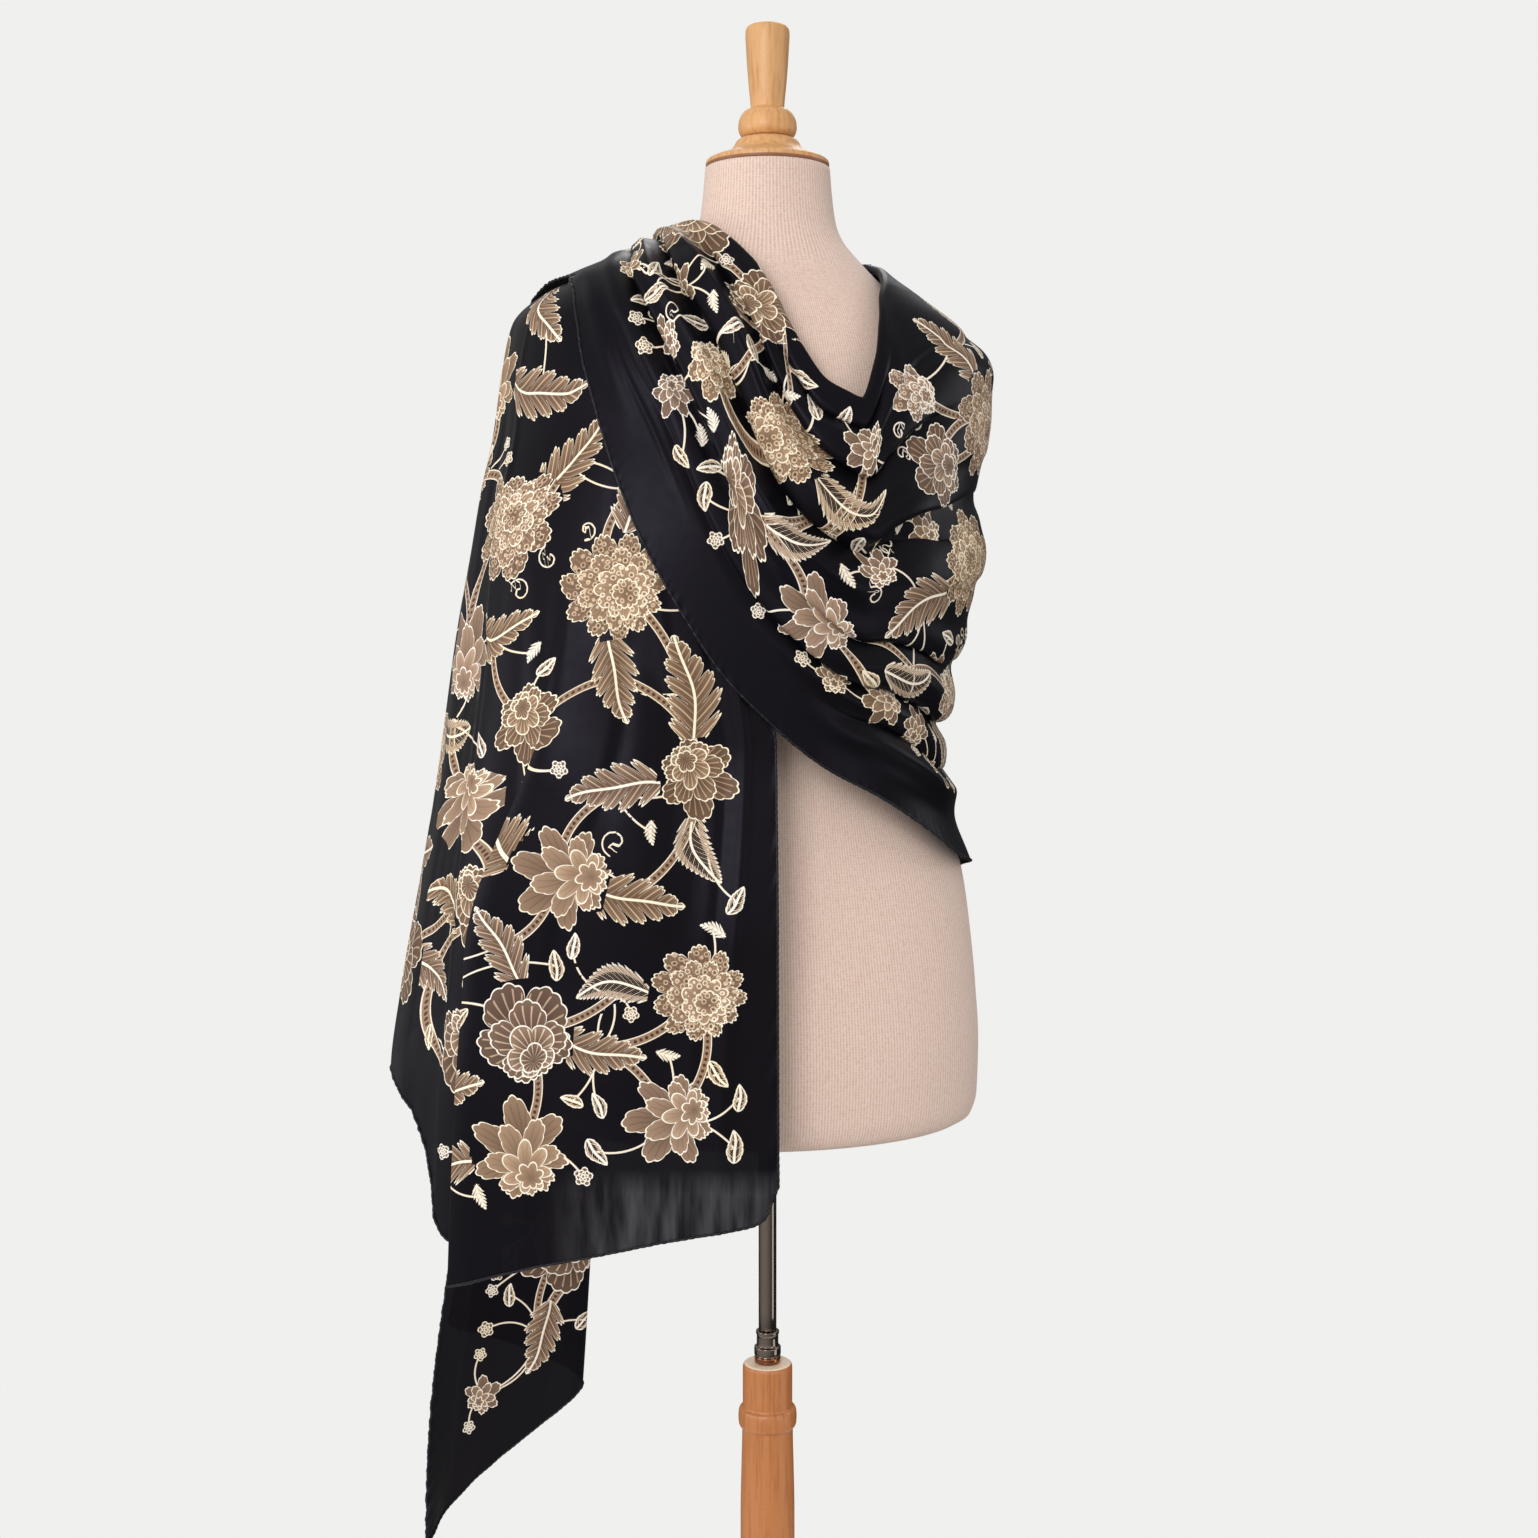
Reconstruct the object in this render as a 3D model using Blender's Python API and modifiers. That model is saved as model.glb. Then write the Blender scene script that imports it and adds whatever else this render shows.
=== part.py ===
"""A silk shawl wound once round a limbless dress form, with the form's wooden stand.

Metres, +Z up, with the floor at z = 0 and the stand on the Z axis. The front of the form faces -Y,
turned a little to +X. The tables are in millimetres and degrees. Azimuth is measured about the Z
axis: 0 is the viewer's right, -90 the front, 180 the viewer's left and 90 the back.
"""

import math
from collections import namedtuple

import bmesh
import bpy
import numpy as np

MM = 0.001
GAP = 0.3 * MM
SEAM = 0.6 * MM

# The shawl: a hemmed length of silk satin
CLOTH_WALL = 1.6 * MM
ROWS_ACROSS = 30
WRAP_COLUMNS = 28
BACK_COLUMNS = 16
END_ROWS = 24
NECKLINE_TURN_IN = 20 * MM
NARROW_TURN_IN = 6 * MM
NECKLINE_RADIUS = 3.5 * MM
# The neckline's turn-in is widest over the chest, by share of the wrap
CHEST_STARTS = 0.30
CHEST_ENDS = 0.68
CHEST_FADE = 0.15
GATHER_BUNCH = 5 * MM
# The gathers bunch over this share of each stretch beside the left shoulder
GATHER_REACH = 0.25
# Rows lie closer together near the shoulder and near the lower edge
SHOULDER_BOW = 1.1
SHOULDER_ROWS_BOW = 1.5
LOWER_EDGE_BOW = 1.2
EDGE_SAMPLES = 60
# A soft fold fades over this share of its stretch, and is pressed flatter at the gathers
FOLD_FADE = 0.22
GATHER_FLATNESS = 0.2
GATHER_PRESS = 0.18
# The back takes up the wrap's folds over this share from the seam
FOLDS_CARRY_ON = 0.35
# Below this height the tail hangs free, down to its hem
TAIL_HANGS_BELOW = 1200 * MM
# The tail's gathers stay whole over the first share of its length and loosen over the second
TAIL_GATHER = 0.08
TAIL_LOOSENS = 0.35

# The dress form and its stand
FORM_TURN = 8.0
FORM_SIDES = 28
FORM_BOTTOM = 689 * MM
TUBE_RADIUS = 7.3 * MM
COLLAR_RADIUS = 10.7 * MM
COLLAR_TOP = 511 * MM
POST_TOP = 484 * MM

Section = namedtuple("Section", "height side front back")
TORSO = [
    Section(689, 159, 115, 110),
    Section(693, 166, 121, 116),
    Section(710, 171, 126, 121),
    Section(751, 172, 128, 124),
    Section(800, 169, 125, 123),
    Section(840, 165, 120, 118),
    Section(893, 157, 112, 107),
    Section(940, 137, 104, 94),
    Section(990, 118, 100, 85),
    Section(1060, 130, 111, 88),
    Section(1140, 151, 122, 97),
    Section(1240, 165, 109, 102),
    Section(1285, 164, 99, 97),
    Section(1310, 147, 90, 90),
    Section(1335, 114, 78, 79),
    Section(1355, 89, 69, 70),
    Section(1372, 72, 62, 63),
    Section(1386, 60, 56, 57),
    Section(1400, 54, 52, 53),
    Section(1420, 51, 50, 50),
    Section(1443, 49, 49, 49),
]

# The surface that the cloth lies on: the form's shoulders, then the free hang below them. Each
# level is an oval of four quarters, and the quarters on the left are squarer lower down.
Level = namedtuple("Level", "height turn right left front back squareness")
LAY = [
    Level(1430, 8, 56, 56, 54, 54, 2.0),
    Level(1405, 8, 60, 62, 57, 58, 2.0),
    Level(1388, 8, 65, 67, 62, 63, 2.0),
    Level(1372, 8, 78, 85, 69, 71, 2.0),
    Level(1355, 8, 97, 126, 77, 78, 2.0),
    Level(1340, 8, 119, 168, 85, 86, 2.1),
    Level(1315, 8, 151, 195, 96, 96, 2.1),
    Level(1280, 8, 173, 202, 107, 104, 2.2),
    Level(1230, 7, 170, 210, 118, 109, 2.2),
    Level(1190, 7, 161, 219, 125, 112, 2.3),
    Level(1150, 7, 161, 226, 130, 113, 2.4),
    Level(1080, 5, 150, 238, 133, 117, 2.6),
    Level(1000, 4, 130, 250, 134, 122, 2.8),
    Level(960, 3, 133, 256, 135, 126, 2.9),
    Level(890, 2, 158, 268, 137, 134, 3.1),
    Level(800, 0, 174, 284, 140, 141, 3.3),
    Level(730, 0, 176, 293, 142, 146, 3.4),
    Level(600, 0, 178, 295, 146, 150, 3.5),
    Level(450, 0, 180, 293, 150, 150, 3.5),
    Level(280, 0, 180, 284, 150, 150, 3.5),
]
RIGHT_SQUARENESS = 2.1

# The shawl's two long edges as they run round the figure, by share of each stretch
Rail = namedtuple("Rail", "share azimuth height lift")
WRAP_HEM = [
    Rail(0.00, -162, 1346, 9),
    Rail(0.05, -152, 1328, 9),
    Rail(0.12, -143, 1276, 10),
    Rail(0.20, -137, 1230, 10),
    Rail(0.28, -130, 1184, 10),
    Rail(0.35, -124, 1147, 10),
    Rail(0.44, -115, 1098, 10),
    Rail(0.52, -104, 1052, 10),
    Rail(0.59, -87, 1010, 10),
    Rail(0.65, -72, 981, 9),
    Rail(0.71, -54, 958, 8),
    Rail(0.78, -34, 929, 7),
    Rail(0.85, -18, 905, 7),
    Rail(1.00, 12, 890, 7),
]
WRAP_NECKLINE = [
    Rail(0.00, -178, 1388, 15),
    Rail(0.06, -145, 1387, 15),
    Rail(0.12, -124, 1379, 14.5),
    Rail(0.19, -111, 1367, 14.5),
    Rail(0.26, -100, 1352, 14.5),
    Rail(0.33, -92, 1335, 14.5),
    Rail(0.39, -87, 1320, 14.5),
    Rail(0.45, -83, 1305, 14),
    Rail(0.52, -77, 1283, 15),
    Rail(0.58, -70, 1262, 16),
    Rail(0.63, -63, 1253, 17),
    Rail(0.67, -57, 1248, 17),
    Rail(0.71, -50, 1275, 16),
    Rail(0.77, -44, 1306, 13),
    Rail(0.84, -37, 1330, 8),
    Rail(0.92, -16, 1356, 4.4),
    Rail(1.00, 12, 1369, 4.0),
]
BACK_NECK_EDGE = [
    Rail(0.00, 12, 1369, 4.0),
    Rail(0.20, 42, 1376, 4.6),
    Rail(0.45, 90, 1396, 6),
    Rail(0.75, 145, 1396, 5),
    Rail(1.00, 185, 1385, 5),
]
BACK_HEM = [
    Rail(0.00, 12, 890, 7),
    Rail(0.20, 42, 867, 6),
    Rail(0.45, 90, 818, 6),
    Rail(0.70, 132, 780, 6),
    Rail(0.90, 168, 750, 6),
    Rail(1.00, 185, 742, 6),
]
END_INNER_EDGE = [
    Rail(0.00, -150, 1383, 5),
    Rail(0.15, -128, 1340, 5),
    Rail(0.35, -106, 1220, 5),
    Rail(0.55, -92, 1060, 5),
    Rail(0.65, -87.5, 990, 6),
    Rail(1.00, -87, 660, 6),
]
TAIL_OUTER_EDGE = [
    Rail(0.00, 198, 1346, 9),
    Rail(0.08, 186, 1340, 12),
    Rail(0.15, 174, 1310, 15),
    Rail(0.28, 166, 1200, 17),
    Rail(0.50, 160, 950, 20),
    Rail(0.70, 155, 700, 20),
    Rail(1.00, 166, 290, 16),
]
TAIL_INNER_EDGE = [
    Rail(0.00, 182, 1388, 15),
    Rail(0.08, 155, 1385, 15),
    Rail(0.15, 132, 1365, 15),
    Rail(0.28, 120, 1240, 17),
    Rail(0.50, 122, 1000, 20),
    Rail(0.70, 133, 760, 20),
    Rail(1.00, 138, 400, 16),
]

# Soft folds that run along the shawl: the place across its width at each end, 0 at the lower
# edge and 1 at the neck, and where the fold starts and stops along the stretch
Fold = namedtuple("Fold", "from_place to_place start stop rise width")
WRAP_FOLDS = [
    Fold(0.16, 0.13, -0.30, 0.30, 3.0, 0.060),
    Fold(0.34, 0.24, -0.40, 0.40, 5.5, 0.055),
    Fold(0.49, 0.36, -0.40, 0.50, -5.5, 0.042),
    Fold(0.60, 0.46, -0.40, 0.66, 7.5, 0.055),
    Fold(0.72, 0.57, -0.40, 0.85, -5.0, 0.042),
    Fold(0.82, 0.69, -0.40, 0.80, 7.0, 0.060),
    Fold(0.93, 0.84, 0.05, 0.90, -3.5, 0.045),
    Fold(0.89, 0.92, 0.45, 0.95, -7.0, 0.038),
    Fold(0.78, 0.82, 0.50, 1.40, 4.0, 0.050),
    Fold(0.72, 0.72, 0.45, 1.40, 2.0, 0.045),
    Fold(0.62, 0.61, 0.50, 1.40, -5.0, 0.045),
    Fold(0.50, 0.50, 0.45, 1.40, 8.0, 0.060),
    Fold(0.43, 0.34, 0.50, 1.40, -6.0, 0.035),
    Fold(0.36, 0.275, 0.50, 1.40, 9.0, 0.030),
    Fold(0.29, 0.235, 0.45, 1.40, -7.0, 0.024),
    Fold(0.23, 0.195, 0.50, 1.40, 7.0, 0.026),
    Fold(0.17, 0.155, 0.60, 1.40, -7.0, 0.024),
    Fold(0.11, 0.115, 0.60, 1.40, 12.0, 0.034),
]
BACK_FOLDS = [
    Fold(0.66, 0.90, 0.05, 0.98, 5.0, 0.050),
    Fold(0.56, 0.80, 0.10, 0.90, -4.0, 0.040),
    Fold(0.46, 0.72, 0.05, 0.98, 8.0, 0.055),
    Fold(0.36, 0.62, 0.10, 0.92, -4.0, 0.040),
    Fold(0.28, 0.54, 0.05, 0.95, 9.0, 0.060),
    Fold(0.18, 0.42, 0.10, 0.90, -4.0, 0.045),
    Fold(0.12, 0.32, 0.05, 0.90, 9.0, 0.060),
    Fold(0.02, 0.14, 0.15, 0.90, 6.0, 0.060),
]

# Columns of the two hanging ends, from one long edge to the other: the share of the turn at the
# shoulder, the share where the cloth hangs pleated, how far that pleat stands out, the height
# at which it starts and the height of the hem
Column = namedtuple("Column", "share pleated lift start hem")
FRONT_END = [
    Column(0.000, 0.000, 17, 1000, 676),
    Column(0.030, 0.055, 18, 1000, 650),
    Column(0.130, 0.200, 20, 1000, 642),
    Column(0.240, 0.350, 18, 1000, 635),
    Column(0.360, 0.500, 20, 1060, 625),
    Column(0.460, 0.630, 19, 1100, 612),
    Column(0.520, 0.705, 19.5, 1120, 600),
    Column(0.545, 0.732, 17.0, 1130, 595),
    Column(0.570, 0.708, 14.0, 1130, 598),
    Column(0.600, 0.680, 11.0, 1140, 603),
    Column(0.630, 0.662, 8.0, 1150, 608),
    Column(0.655, 0.674, 5.0, 1160, 613),
    Column(0.700, 0.735, 3.5, 1180, 622),
    Column(0.730, 0.772, 1.0, 1180, 638),
    Column(0.755, 0.785, -2.5, 1180, 662),
    Column(0.790, 0.810, -5.0, 1180, 694),
    Column(0.880, 0.880, -3.0, 1100, 727),
    Column(1.000, 1.000, 0.0, 1100, 742),
]
BACK_END = [
    Column(0.000, 0.000, 0.0, 1290, 292),
    Column(0.080, 0.250, 0.0, 1290, 318),
    Column(0.160, 0.550, 0.0, 1290, 350),
    Column(0.250, 0.840, 0.0, 1290, 383),
    Column(0.300, 0.950, 1.0, 1290, 398),
    Column(0.330, 0.975, 3.5, 1290, 404),
    Column(0.360, 0.940, 6.0, 1290, 412),
    Column(0.430, 0.740, 7.5, 1290, 432),
    Column(0.500, 0.480, 8.5, 1290, 455),
    Column(0.545, 0.330, 10.0, 1290, 466),
    Column(0.570, 0.300, 12.5, 1290, 472),
    Column(0.600, 0.340, 15.0, 1290, 478),
    Column(0.670, 0.590, 16.5, 1290, 500),
    Column(0.750, 0.850, 17.0, 1290, 522),
    Column(0.790, 0.905, 20.0, 1290, 530),
    Column(0.830, 0.875, 23.5, 1290, 539),
    Column(0.910, 0.640, 26.0, 1290, 560),
    Column(1.000, 0.440, 29.0, 1290, 582),
]
FRONT_PLEATS_SETTLE = 300 * MM
BACK_PLEATS_SETTLE = 560 * MM
SAMPLES_PER_COLUMN = 2

# Turned profiles, radius and height, from the top of the outer side down
NECK_CAP = [(20, 1466.7), (24, 1464), (27, 1459), (34, 1454), (44, 1450), (48.5, 1448), (48.5, 1443.3)]
FINIAL = [
    (11, 1554), (16, 1551.5), (17.3, 1547), (16.4, 1530), (14.6, 1508), (13.2, 1491),
    (18, 1487.5), (22, 1481), (23, 1475), (21.5, 1470), (17, 1467),
]
POST = [
    (18, 484), (20.3, 481.5), (20.3, 448), (22.6, 446.5), (23.9, 443), (23.9, 435), (22.6, 431.5),
    (20.6, 430), (22.2, 360), (22.4, 200), (23, 60), (26, 24.3),
]
BASE = [(30, 24), (120, 20), (158, 15), (165, 10), (165, 3), (162, 0)]


def clear_scene():
    """Removes what the file holds, so that the part is alone in it."""
    for item in list(bpy.data.objects):
        bpy.data.objects.remove(item, do_unlink=True)


def values(table, field):
    """One column of a table, as an array."""
    return np.array([getattr(row, field) for row in table], float)


def flow(at, places, heights):
    """A smooth curve through the points, in cubic pieces that don't swing past them."""
    order = np.argsort(places)
    places, heights = places[order], heights[order]
    step = np.diff(places)
    slope = np.diff(heights) / step
    before, after = slope[:-1], slope[1:]
    same_way = before * after > 0
    total = np.where(same_way, before + after, 1.0)
    tangent = np.empty_like(heights)
    tangent[0], tangent[-1] = slope[0], slope[-1]
    tangent[1:-1] = np.where(same_way, 2 * before * after / total, 0.0)
    piece = np.clip(np.searchsorted(places, at) - 1, 0, len(step) - 1)
    t = np.clip((at - places[piece]) / step[piece], 0.0, 1.0)
    left = (1 + 2 * t) * (1 - t) ** 2 * heights[piece] + t * (1 - t) ** 2 * step[piece] * tangent[piece]
    right = t * t * (3 - 2 * t) * heights[piece + 1] - t * t * (1 - t) * step[piece] * tangent[piece + 1]
    return left + right


def smooth(share):
    """Rises from 0 to 1 with level ends."""
    share = np.clip(share, 0.0, 1.0)
    return share * share * (3 - 2 * share)


def lay_point(azimuth, height):
    """A point of the surface that the cloth lies on; azimuth in degrees and height in metres."""
    level = height / MM

    def of(field):
        return flow(level, values(LAY, "height"), values(LAY, field))

    angle = np.radians(azimuth - of("turn"))
    across, along = np.cos(angle), np.sin(angle)
    half_width = np.where(across >= 0, of("right"), of("left")) * MM
    half_depth = np.where(along >= 0, of("back"), of("front")) * MM
    power = np.where(across >= 0, RIGHT_SQUARENESS, of("squareness"))
    radius = (np.abs(across / half_width) ** power + np.abs(along / half_depth) ** power) ** (-1 / power)
    turned = np.radians(azimuth)
    return np.stack([radius * np.cos(turned), radius * np.sin(turned), height + 0 * radius], axis=-1)


def off_lay(azimuth, height, lift):
    """Points that stand off the lay surface by lift, square to it."""
    small_angle, small_rise = 1.0, 1.5 * MM
    around = lay_point(azimuth + small_angle, height) - lay_point(azimuth - small_angle, height)
    upward = lay_point(azimuth, height + small_rise) - lay_point(azimuth, height - small_rise)
    normal = np.cross(around, upward)
    normal /= np.linalg.norm(normal, axis=-1, keepdims=True)
    return lay_point(azimuth, height) + normal * lift[..., None]


def along_rail(rail, share):
    """Azimuth, height and lift of an edge at each share of its length."""
    places = values(rail, "share")
    azimuth = flow(share, places, values(rail, "azimuth"))
    height = flow(share, places, values(rail, "height")) * MM
    lift = flow(share, places, values(rail, "lift")) * MM
    return azimuth, height, lift


def relief(folds, place, share):
    """Sum of the soft folds: each is a bell across the width that fades at both of its ends."""
    total = 0.0 * place * share
    for fold in folds:
        centre = fold.from_place + (fold.to_place - fold.from_place) * smooth(share)
        bell = np.exp(-(((place - centre) / fold.width) ** 2))
        fade = smooth((share - fold.start) / FOLD_FADE) * smooth((fold.stop - share) / FOLD_FADE)
        fade = fade * (GATHER_FLATNESS + (1 - GATHER_FLATNESS) * smooth(share / GATHER_PRESS))
        total = total + fold.rise * MM * bell * fade
    return total


def between_rails(lower, upper, place, share, bow):
    """Azimuth, height and lift of the cloth between its two edges. A bow over 1 sets the rows
    closer together near the upper edge, where the cloth lies over the shoulder."""
    low, high = along_rail(lower, share), along_rail(upper, share)
    rise = 1 - (1 - place) ** bow
    return [a + (b - a) * rise for a, b in zip(low, high)]


def pull_back(points, axis, end):
    """Draws one edge of a grid of points back by half of a seam's gap."""
    rows = np.moveaxis(points, axis, 0)
    edge, inner = rows[end].copy(), rows[1 if end == 0 else -2]
    inward = inner - edge
    rows[end] = edge + inward / np.linalg.norm(inward, axis=-1, keepdims=True) * SEAM / 2


def places_across():
    """Places of the rows across the shawl, 0 at its lower edge and 1 at the neck."""
    return np.linspace(0, 1, ROWS_ACROSS + 1)[:, None] ** LOWER_EDGE_BOW


def wrap_points():
    """The stretch from the left shoulder across the chest to the right side. Its neck edge is
    rolled over and turned in."""
    share = np.linspace(0, 1, WRAP_COLUMNS + 1)[None, :]
    place = places_across()
    bow = 1 + (SHOULDER_BOW - 1) * smooth(share)
    azimuth, height, lift = between_rails(WRAP_HEM, WRAP_NECKLINE, place, share, bow)
    bunch = GATHER_BUNCH * np.sin(math.pi * place) * smooth(1 - share / GATHER_REACH)
    lift = lift + bunch + relief(WRAP_FOLDS, place, share)
    body = off_lay(azimuth, height, lift)

    edge, inside = body[-1], body[-4] - body[-1]
    along = np.gradient(edge, axis=0)
    along /= np.linalg.norm(along, axis=-1, keepdims=True)
    inside -= along * (inside * along).sum(axis=-1, keepdims=True)
    inside /= np.linalg.norm(inside, axis=-1, keepdims=True)
    base = off_lay(azimuth[-1], height[-1], lift[-1] - 2 * NECKLINE_RADIUS)
    inward = base - edge
    inward /= np.linalg.norm(inward, axis=-1, keepdims=True)
    turned = []
    for angle in (45, 90, 135, 180):
        turn = math.radians(angle)
        outward = inside * NECKLINE_RADIUS * math.sin(turn)
        turned.append(edge + inward * NECKLINE_RADIUS * (1 - math.cos(turn)) - outward)
    chest = smooth(share[0] / CHEST_STARTS) * smooth((CHEST_ENDS - share[0]) / CHEST_FADE)
    turn_in = NARROW_TURN_IN + (NECKLINE_TURN_IN - NARROW_TURN_IN) * chest
    for depth in (0.5, 1.0):
        turned.append(base + inside * (turn_in * depth)[:, None])
    return np.concatenate([body, np.array(turned)])


def back_points():
    """The stretch from the right side across the back to the left side."""
    share = np.linspace(0, 1, BACK_COLUMNS + 1)[None, :]
    place = places_across()
    azimuth, height, lift = between_rails(BACK_HEM, BACK_NECK_EDGE, place, share, SHOULDER_BOW)
    from_wrap = relief(WRAP_FOLDS, place, np.ones_like(share)) * smooth(1 - share / FOLDS_CARRY_ON)
    return off_lay(azimuth, height, lift + from_wrap + relief(BACK_FOLDS, place, share))


def columns_of(table):
    """The table's columns, with more drawn smoothly between each two."""
    at = np.linspace(0, len(table) - 1, (len(table) - 1) * SAMPLES_PER_COLUMN + 1)
    rows = np.arange(len(table), dtype=float)
    return [flow(at, rows, values(table, field))[None, :] for field in Column._fields]


def pleating(height, start, settle):
    """How far the pleats have closed up and how far they stand out, from 0 at their start to 1.
    They stand out before they close, so that no layer meets the next."""
    below = (start - height) / settle
    return smooth(below), smooth(2 * below)


def front_end_points():
    """The end that hangs in front on the viewer's left, in pleats that lie over each other."""
    share, pleated, stand, start, hem = columns_of(FRONT_END)
    down = np.linspace(0, 1, END_ROWS + 1)[:, None]
    lift = along_rail(END_INNER_EDGE, down)[2]
    outer_azimuth, outer_top, _ = along_rail(BACK_NECK_EDGE, np.ones_like(down))
    height = outer_top + (hem * MM - outer_top) * down**SHOULDER_ROWS_BOW
    closed, stood = pleating(height, start * MM, FRONT_PLEATS_SETTLE)
    edge_azimuth, edge_height, _ = along_rail(END_INNER_EDGE, np.linspace(0, 1, EDGE_SAMPLES))
    inner_azimuth = flow(height, edge_height, edge_azimuth)
    across = share + (pleated - share) * closed
    azimuth = inner_azimuth + (outer_azimuth - 360 - inner_azimuth) * across
    return off_lay(azimuth, height, lift + stand * MM * stood)


def back_end_points():
    """The end that is gathered on the left shoulder and falls behind, folded to and fro."""
    share, pleated, stand, start, hem = columns_of(BACK_END)
    down = np.linspace(0, 1, END_ROWS + 1)[:, None]
    outer, inner = along_rail(TAIL_OUTER_EDGE, down), along_rail(TAIL_INNER_EDGE, down)
    fresh = 1 - smooth((down - TAIL_GATHER) / TAIL_LOOSENS)
    height = outer[1] + (inner[1] - outer[1]) * share
    below = height - TAIL_HANGS_BELOW
    drop = (hem * MM - TAIL_HANGS_BELOW) / below[-1:]
    height = TAIL_HANGS_BELOW + np.where(below < 0, below * drop, below)
    closed, stood = pleating(height, start * MM, BACK_PLEATS_SETTLE)
    across = share + (pleated - share) * closed
    azimuth = outer[0] + (inner[0] - outer[0]) * across
    lift = outer[2] + (inner[2] - outer[2]) * across
    bunch = GATHER_BUNCH * np.sin(math.pi * share) * fresh
    gathers = relief(WRAP_FOLDS, share, np.zeros_like(down)) * fresh
    return off_lay(azimuth, height, lift + bunch + gathers + stand * MM * stood)


def finish_material(name, colour, roughness, metallic=0.0):
    """A Principled material; the colour is linear red, green and blue."""
    material = bpy.data.materials.new(name)
    material.use_nodes = True
    shader = material.node_tree.nodes["Principled BSDF"]
    shader.inputs["Base Color"].default_value = (*colour, 1.0)
    shader.inputs["Roughness"].default_value = roughness
    shader.inputs["Metallic"].default_value = metallic
    return material


def add_object(name, mesh, material, collection):
    """Puts a mesh in the collection with its material, shaded smooth but for its sharp edges."""
    item = bpy.data.objects.new(name, mesh)
    mesh.materials.append(material)
    mesh.shade_smooth()
    mesh.set_sharp_from_angle(angle=math.radians(40))
    collection.objects.link(item)
    return item


def add_cloth(name, points, material, collection):
    """A grid of points as a sheet, given its wall by a Solidify modifier."""
    rows, columns = points.shape[:2]
    index = np.arange(rows * columns).reshape(rows, columns)
    corners = [index[:-1, :-1], index[:-1, 1:], index[1:, 1:], index[1:, :-1]]
    faces = np.stack([corner.ravel() for corner in corners], axis=-1)
    mesh = bpy.data.meshes.new(name)
    mesh.from_pydata(points.reshape(-1, 3).tolist(), [], faces.tolist())
    item = add_object(name, mesh, material, collection)
    wall = item.modifiers.new("Wall", "SOLIDIFY")
    wall.thickness = CLOTH_WALL
    wall.offset = 0.0
    wall.use_even_offset = False
    return item


def add_turned(name, profile, sides, material, collection):
    """A profile from the axis, down the outer side and back to the axis, turned by a Screw."""
    outline = [(0.0, profile[0][1]), *profile, (0.0, profile[-1][1])]
    mesh = bpy.data.meshes.new(name)
    points = [(radius * MM, 0.0, height * MM) for radius, height in outline]
    mesh.from_pydata(points, [(i, i + 1) for i in range(len(points) - 1)], [])
    item = add_object(name, mesh, material, collection)
    screw = item.modifiers.new("Turn", "SCREW")
    screw.steps = sides
    screw.render_steps = sides
    screw.use_merge_vertices = True
    screw.merge_threshold = 0.00005
    screw.use_smooth_shade = True
    return item


def add_torso(material, collection):
    """The padded torso, a loft through its oval sections with flat ends."""
    angle = np.linspace(0, 2 * math.pi, FORM_SIDES, endpoint=False)[None, :]
    height, side, front, back = (values(TORSO, field)[:, None] * MM for field in Section._fields)
    across, along = np.cos(angle), np.sin(angle)
    depth = np.where(along >= 0, back, front)
    turn = math.radians(FORM_TURN)
    x, y = side * across, depth * along
    turned_x = x * math.cos(turn) - y * math.sin(turn)
    turned_y = x * math.sin(turn) + y * math.cos(turn)
    points = np.stack([turned_x, turned_y, height + 0 * x], axis=-1)
    mesh = bpy.data.meshes.new("form_body")
    work = bmesh.new()
    rings = [[work.verts.new(point) for point in ring] for ring in points]
    for lower, upper in zip(rings, rings[1:]):
        for i in range(FORM_SIDES):
            j = (i + 1) % FORM_SIDES
            work.faces.new((lower[i], lower[j], upper[j], upper[i]))
    work.faces.new(rings[0][::-1])
    work.faces.new(rings[-1])
    work.to_mesh(mesh)
    work.free()
    return add_object("form_body", mesh, material, collection)


def add_rod(name, radius, bottom, top, sides, material, collection):
    """A plain upright rod on the Z axis, from a cone primitive with equal ends."""
    mesh = bpy.data.meshes.new(name)
    work = bmesh.new()
    bmesh.ops.create_cone(
        work, cap_ends=True, segments=sides, radius1=radius, radius2=radius, depth=top - bottom
    )
    bmesh.ops.translate(work, verts=work.verts, vec=(0, 0, (top + bottom) / 2))
    work.to_mesh(mesh)
    work.free()
    return add_object(name, mesh, material, collection)


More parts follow.
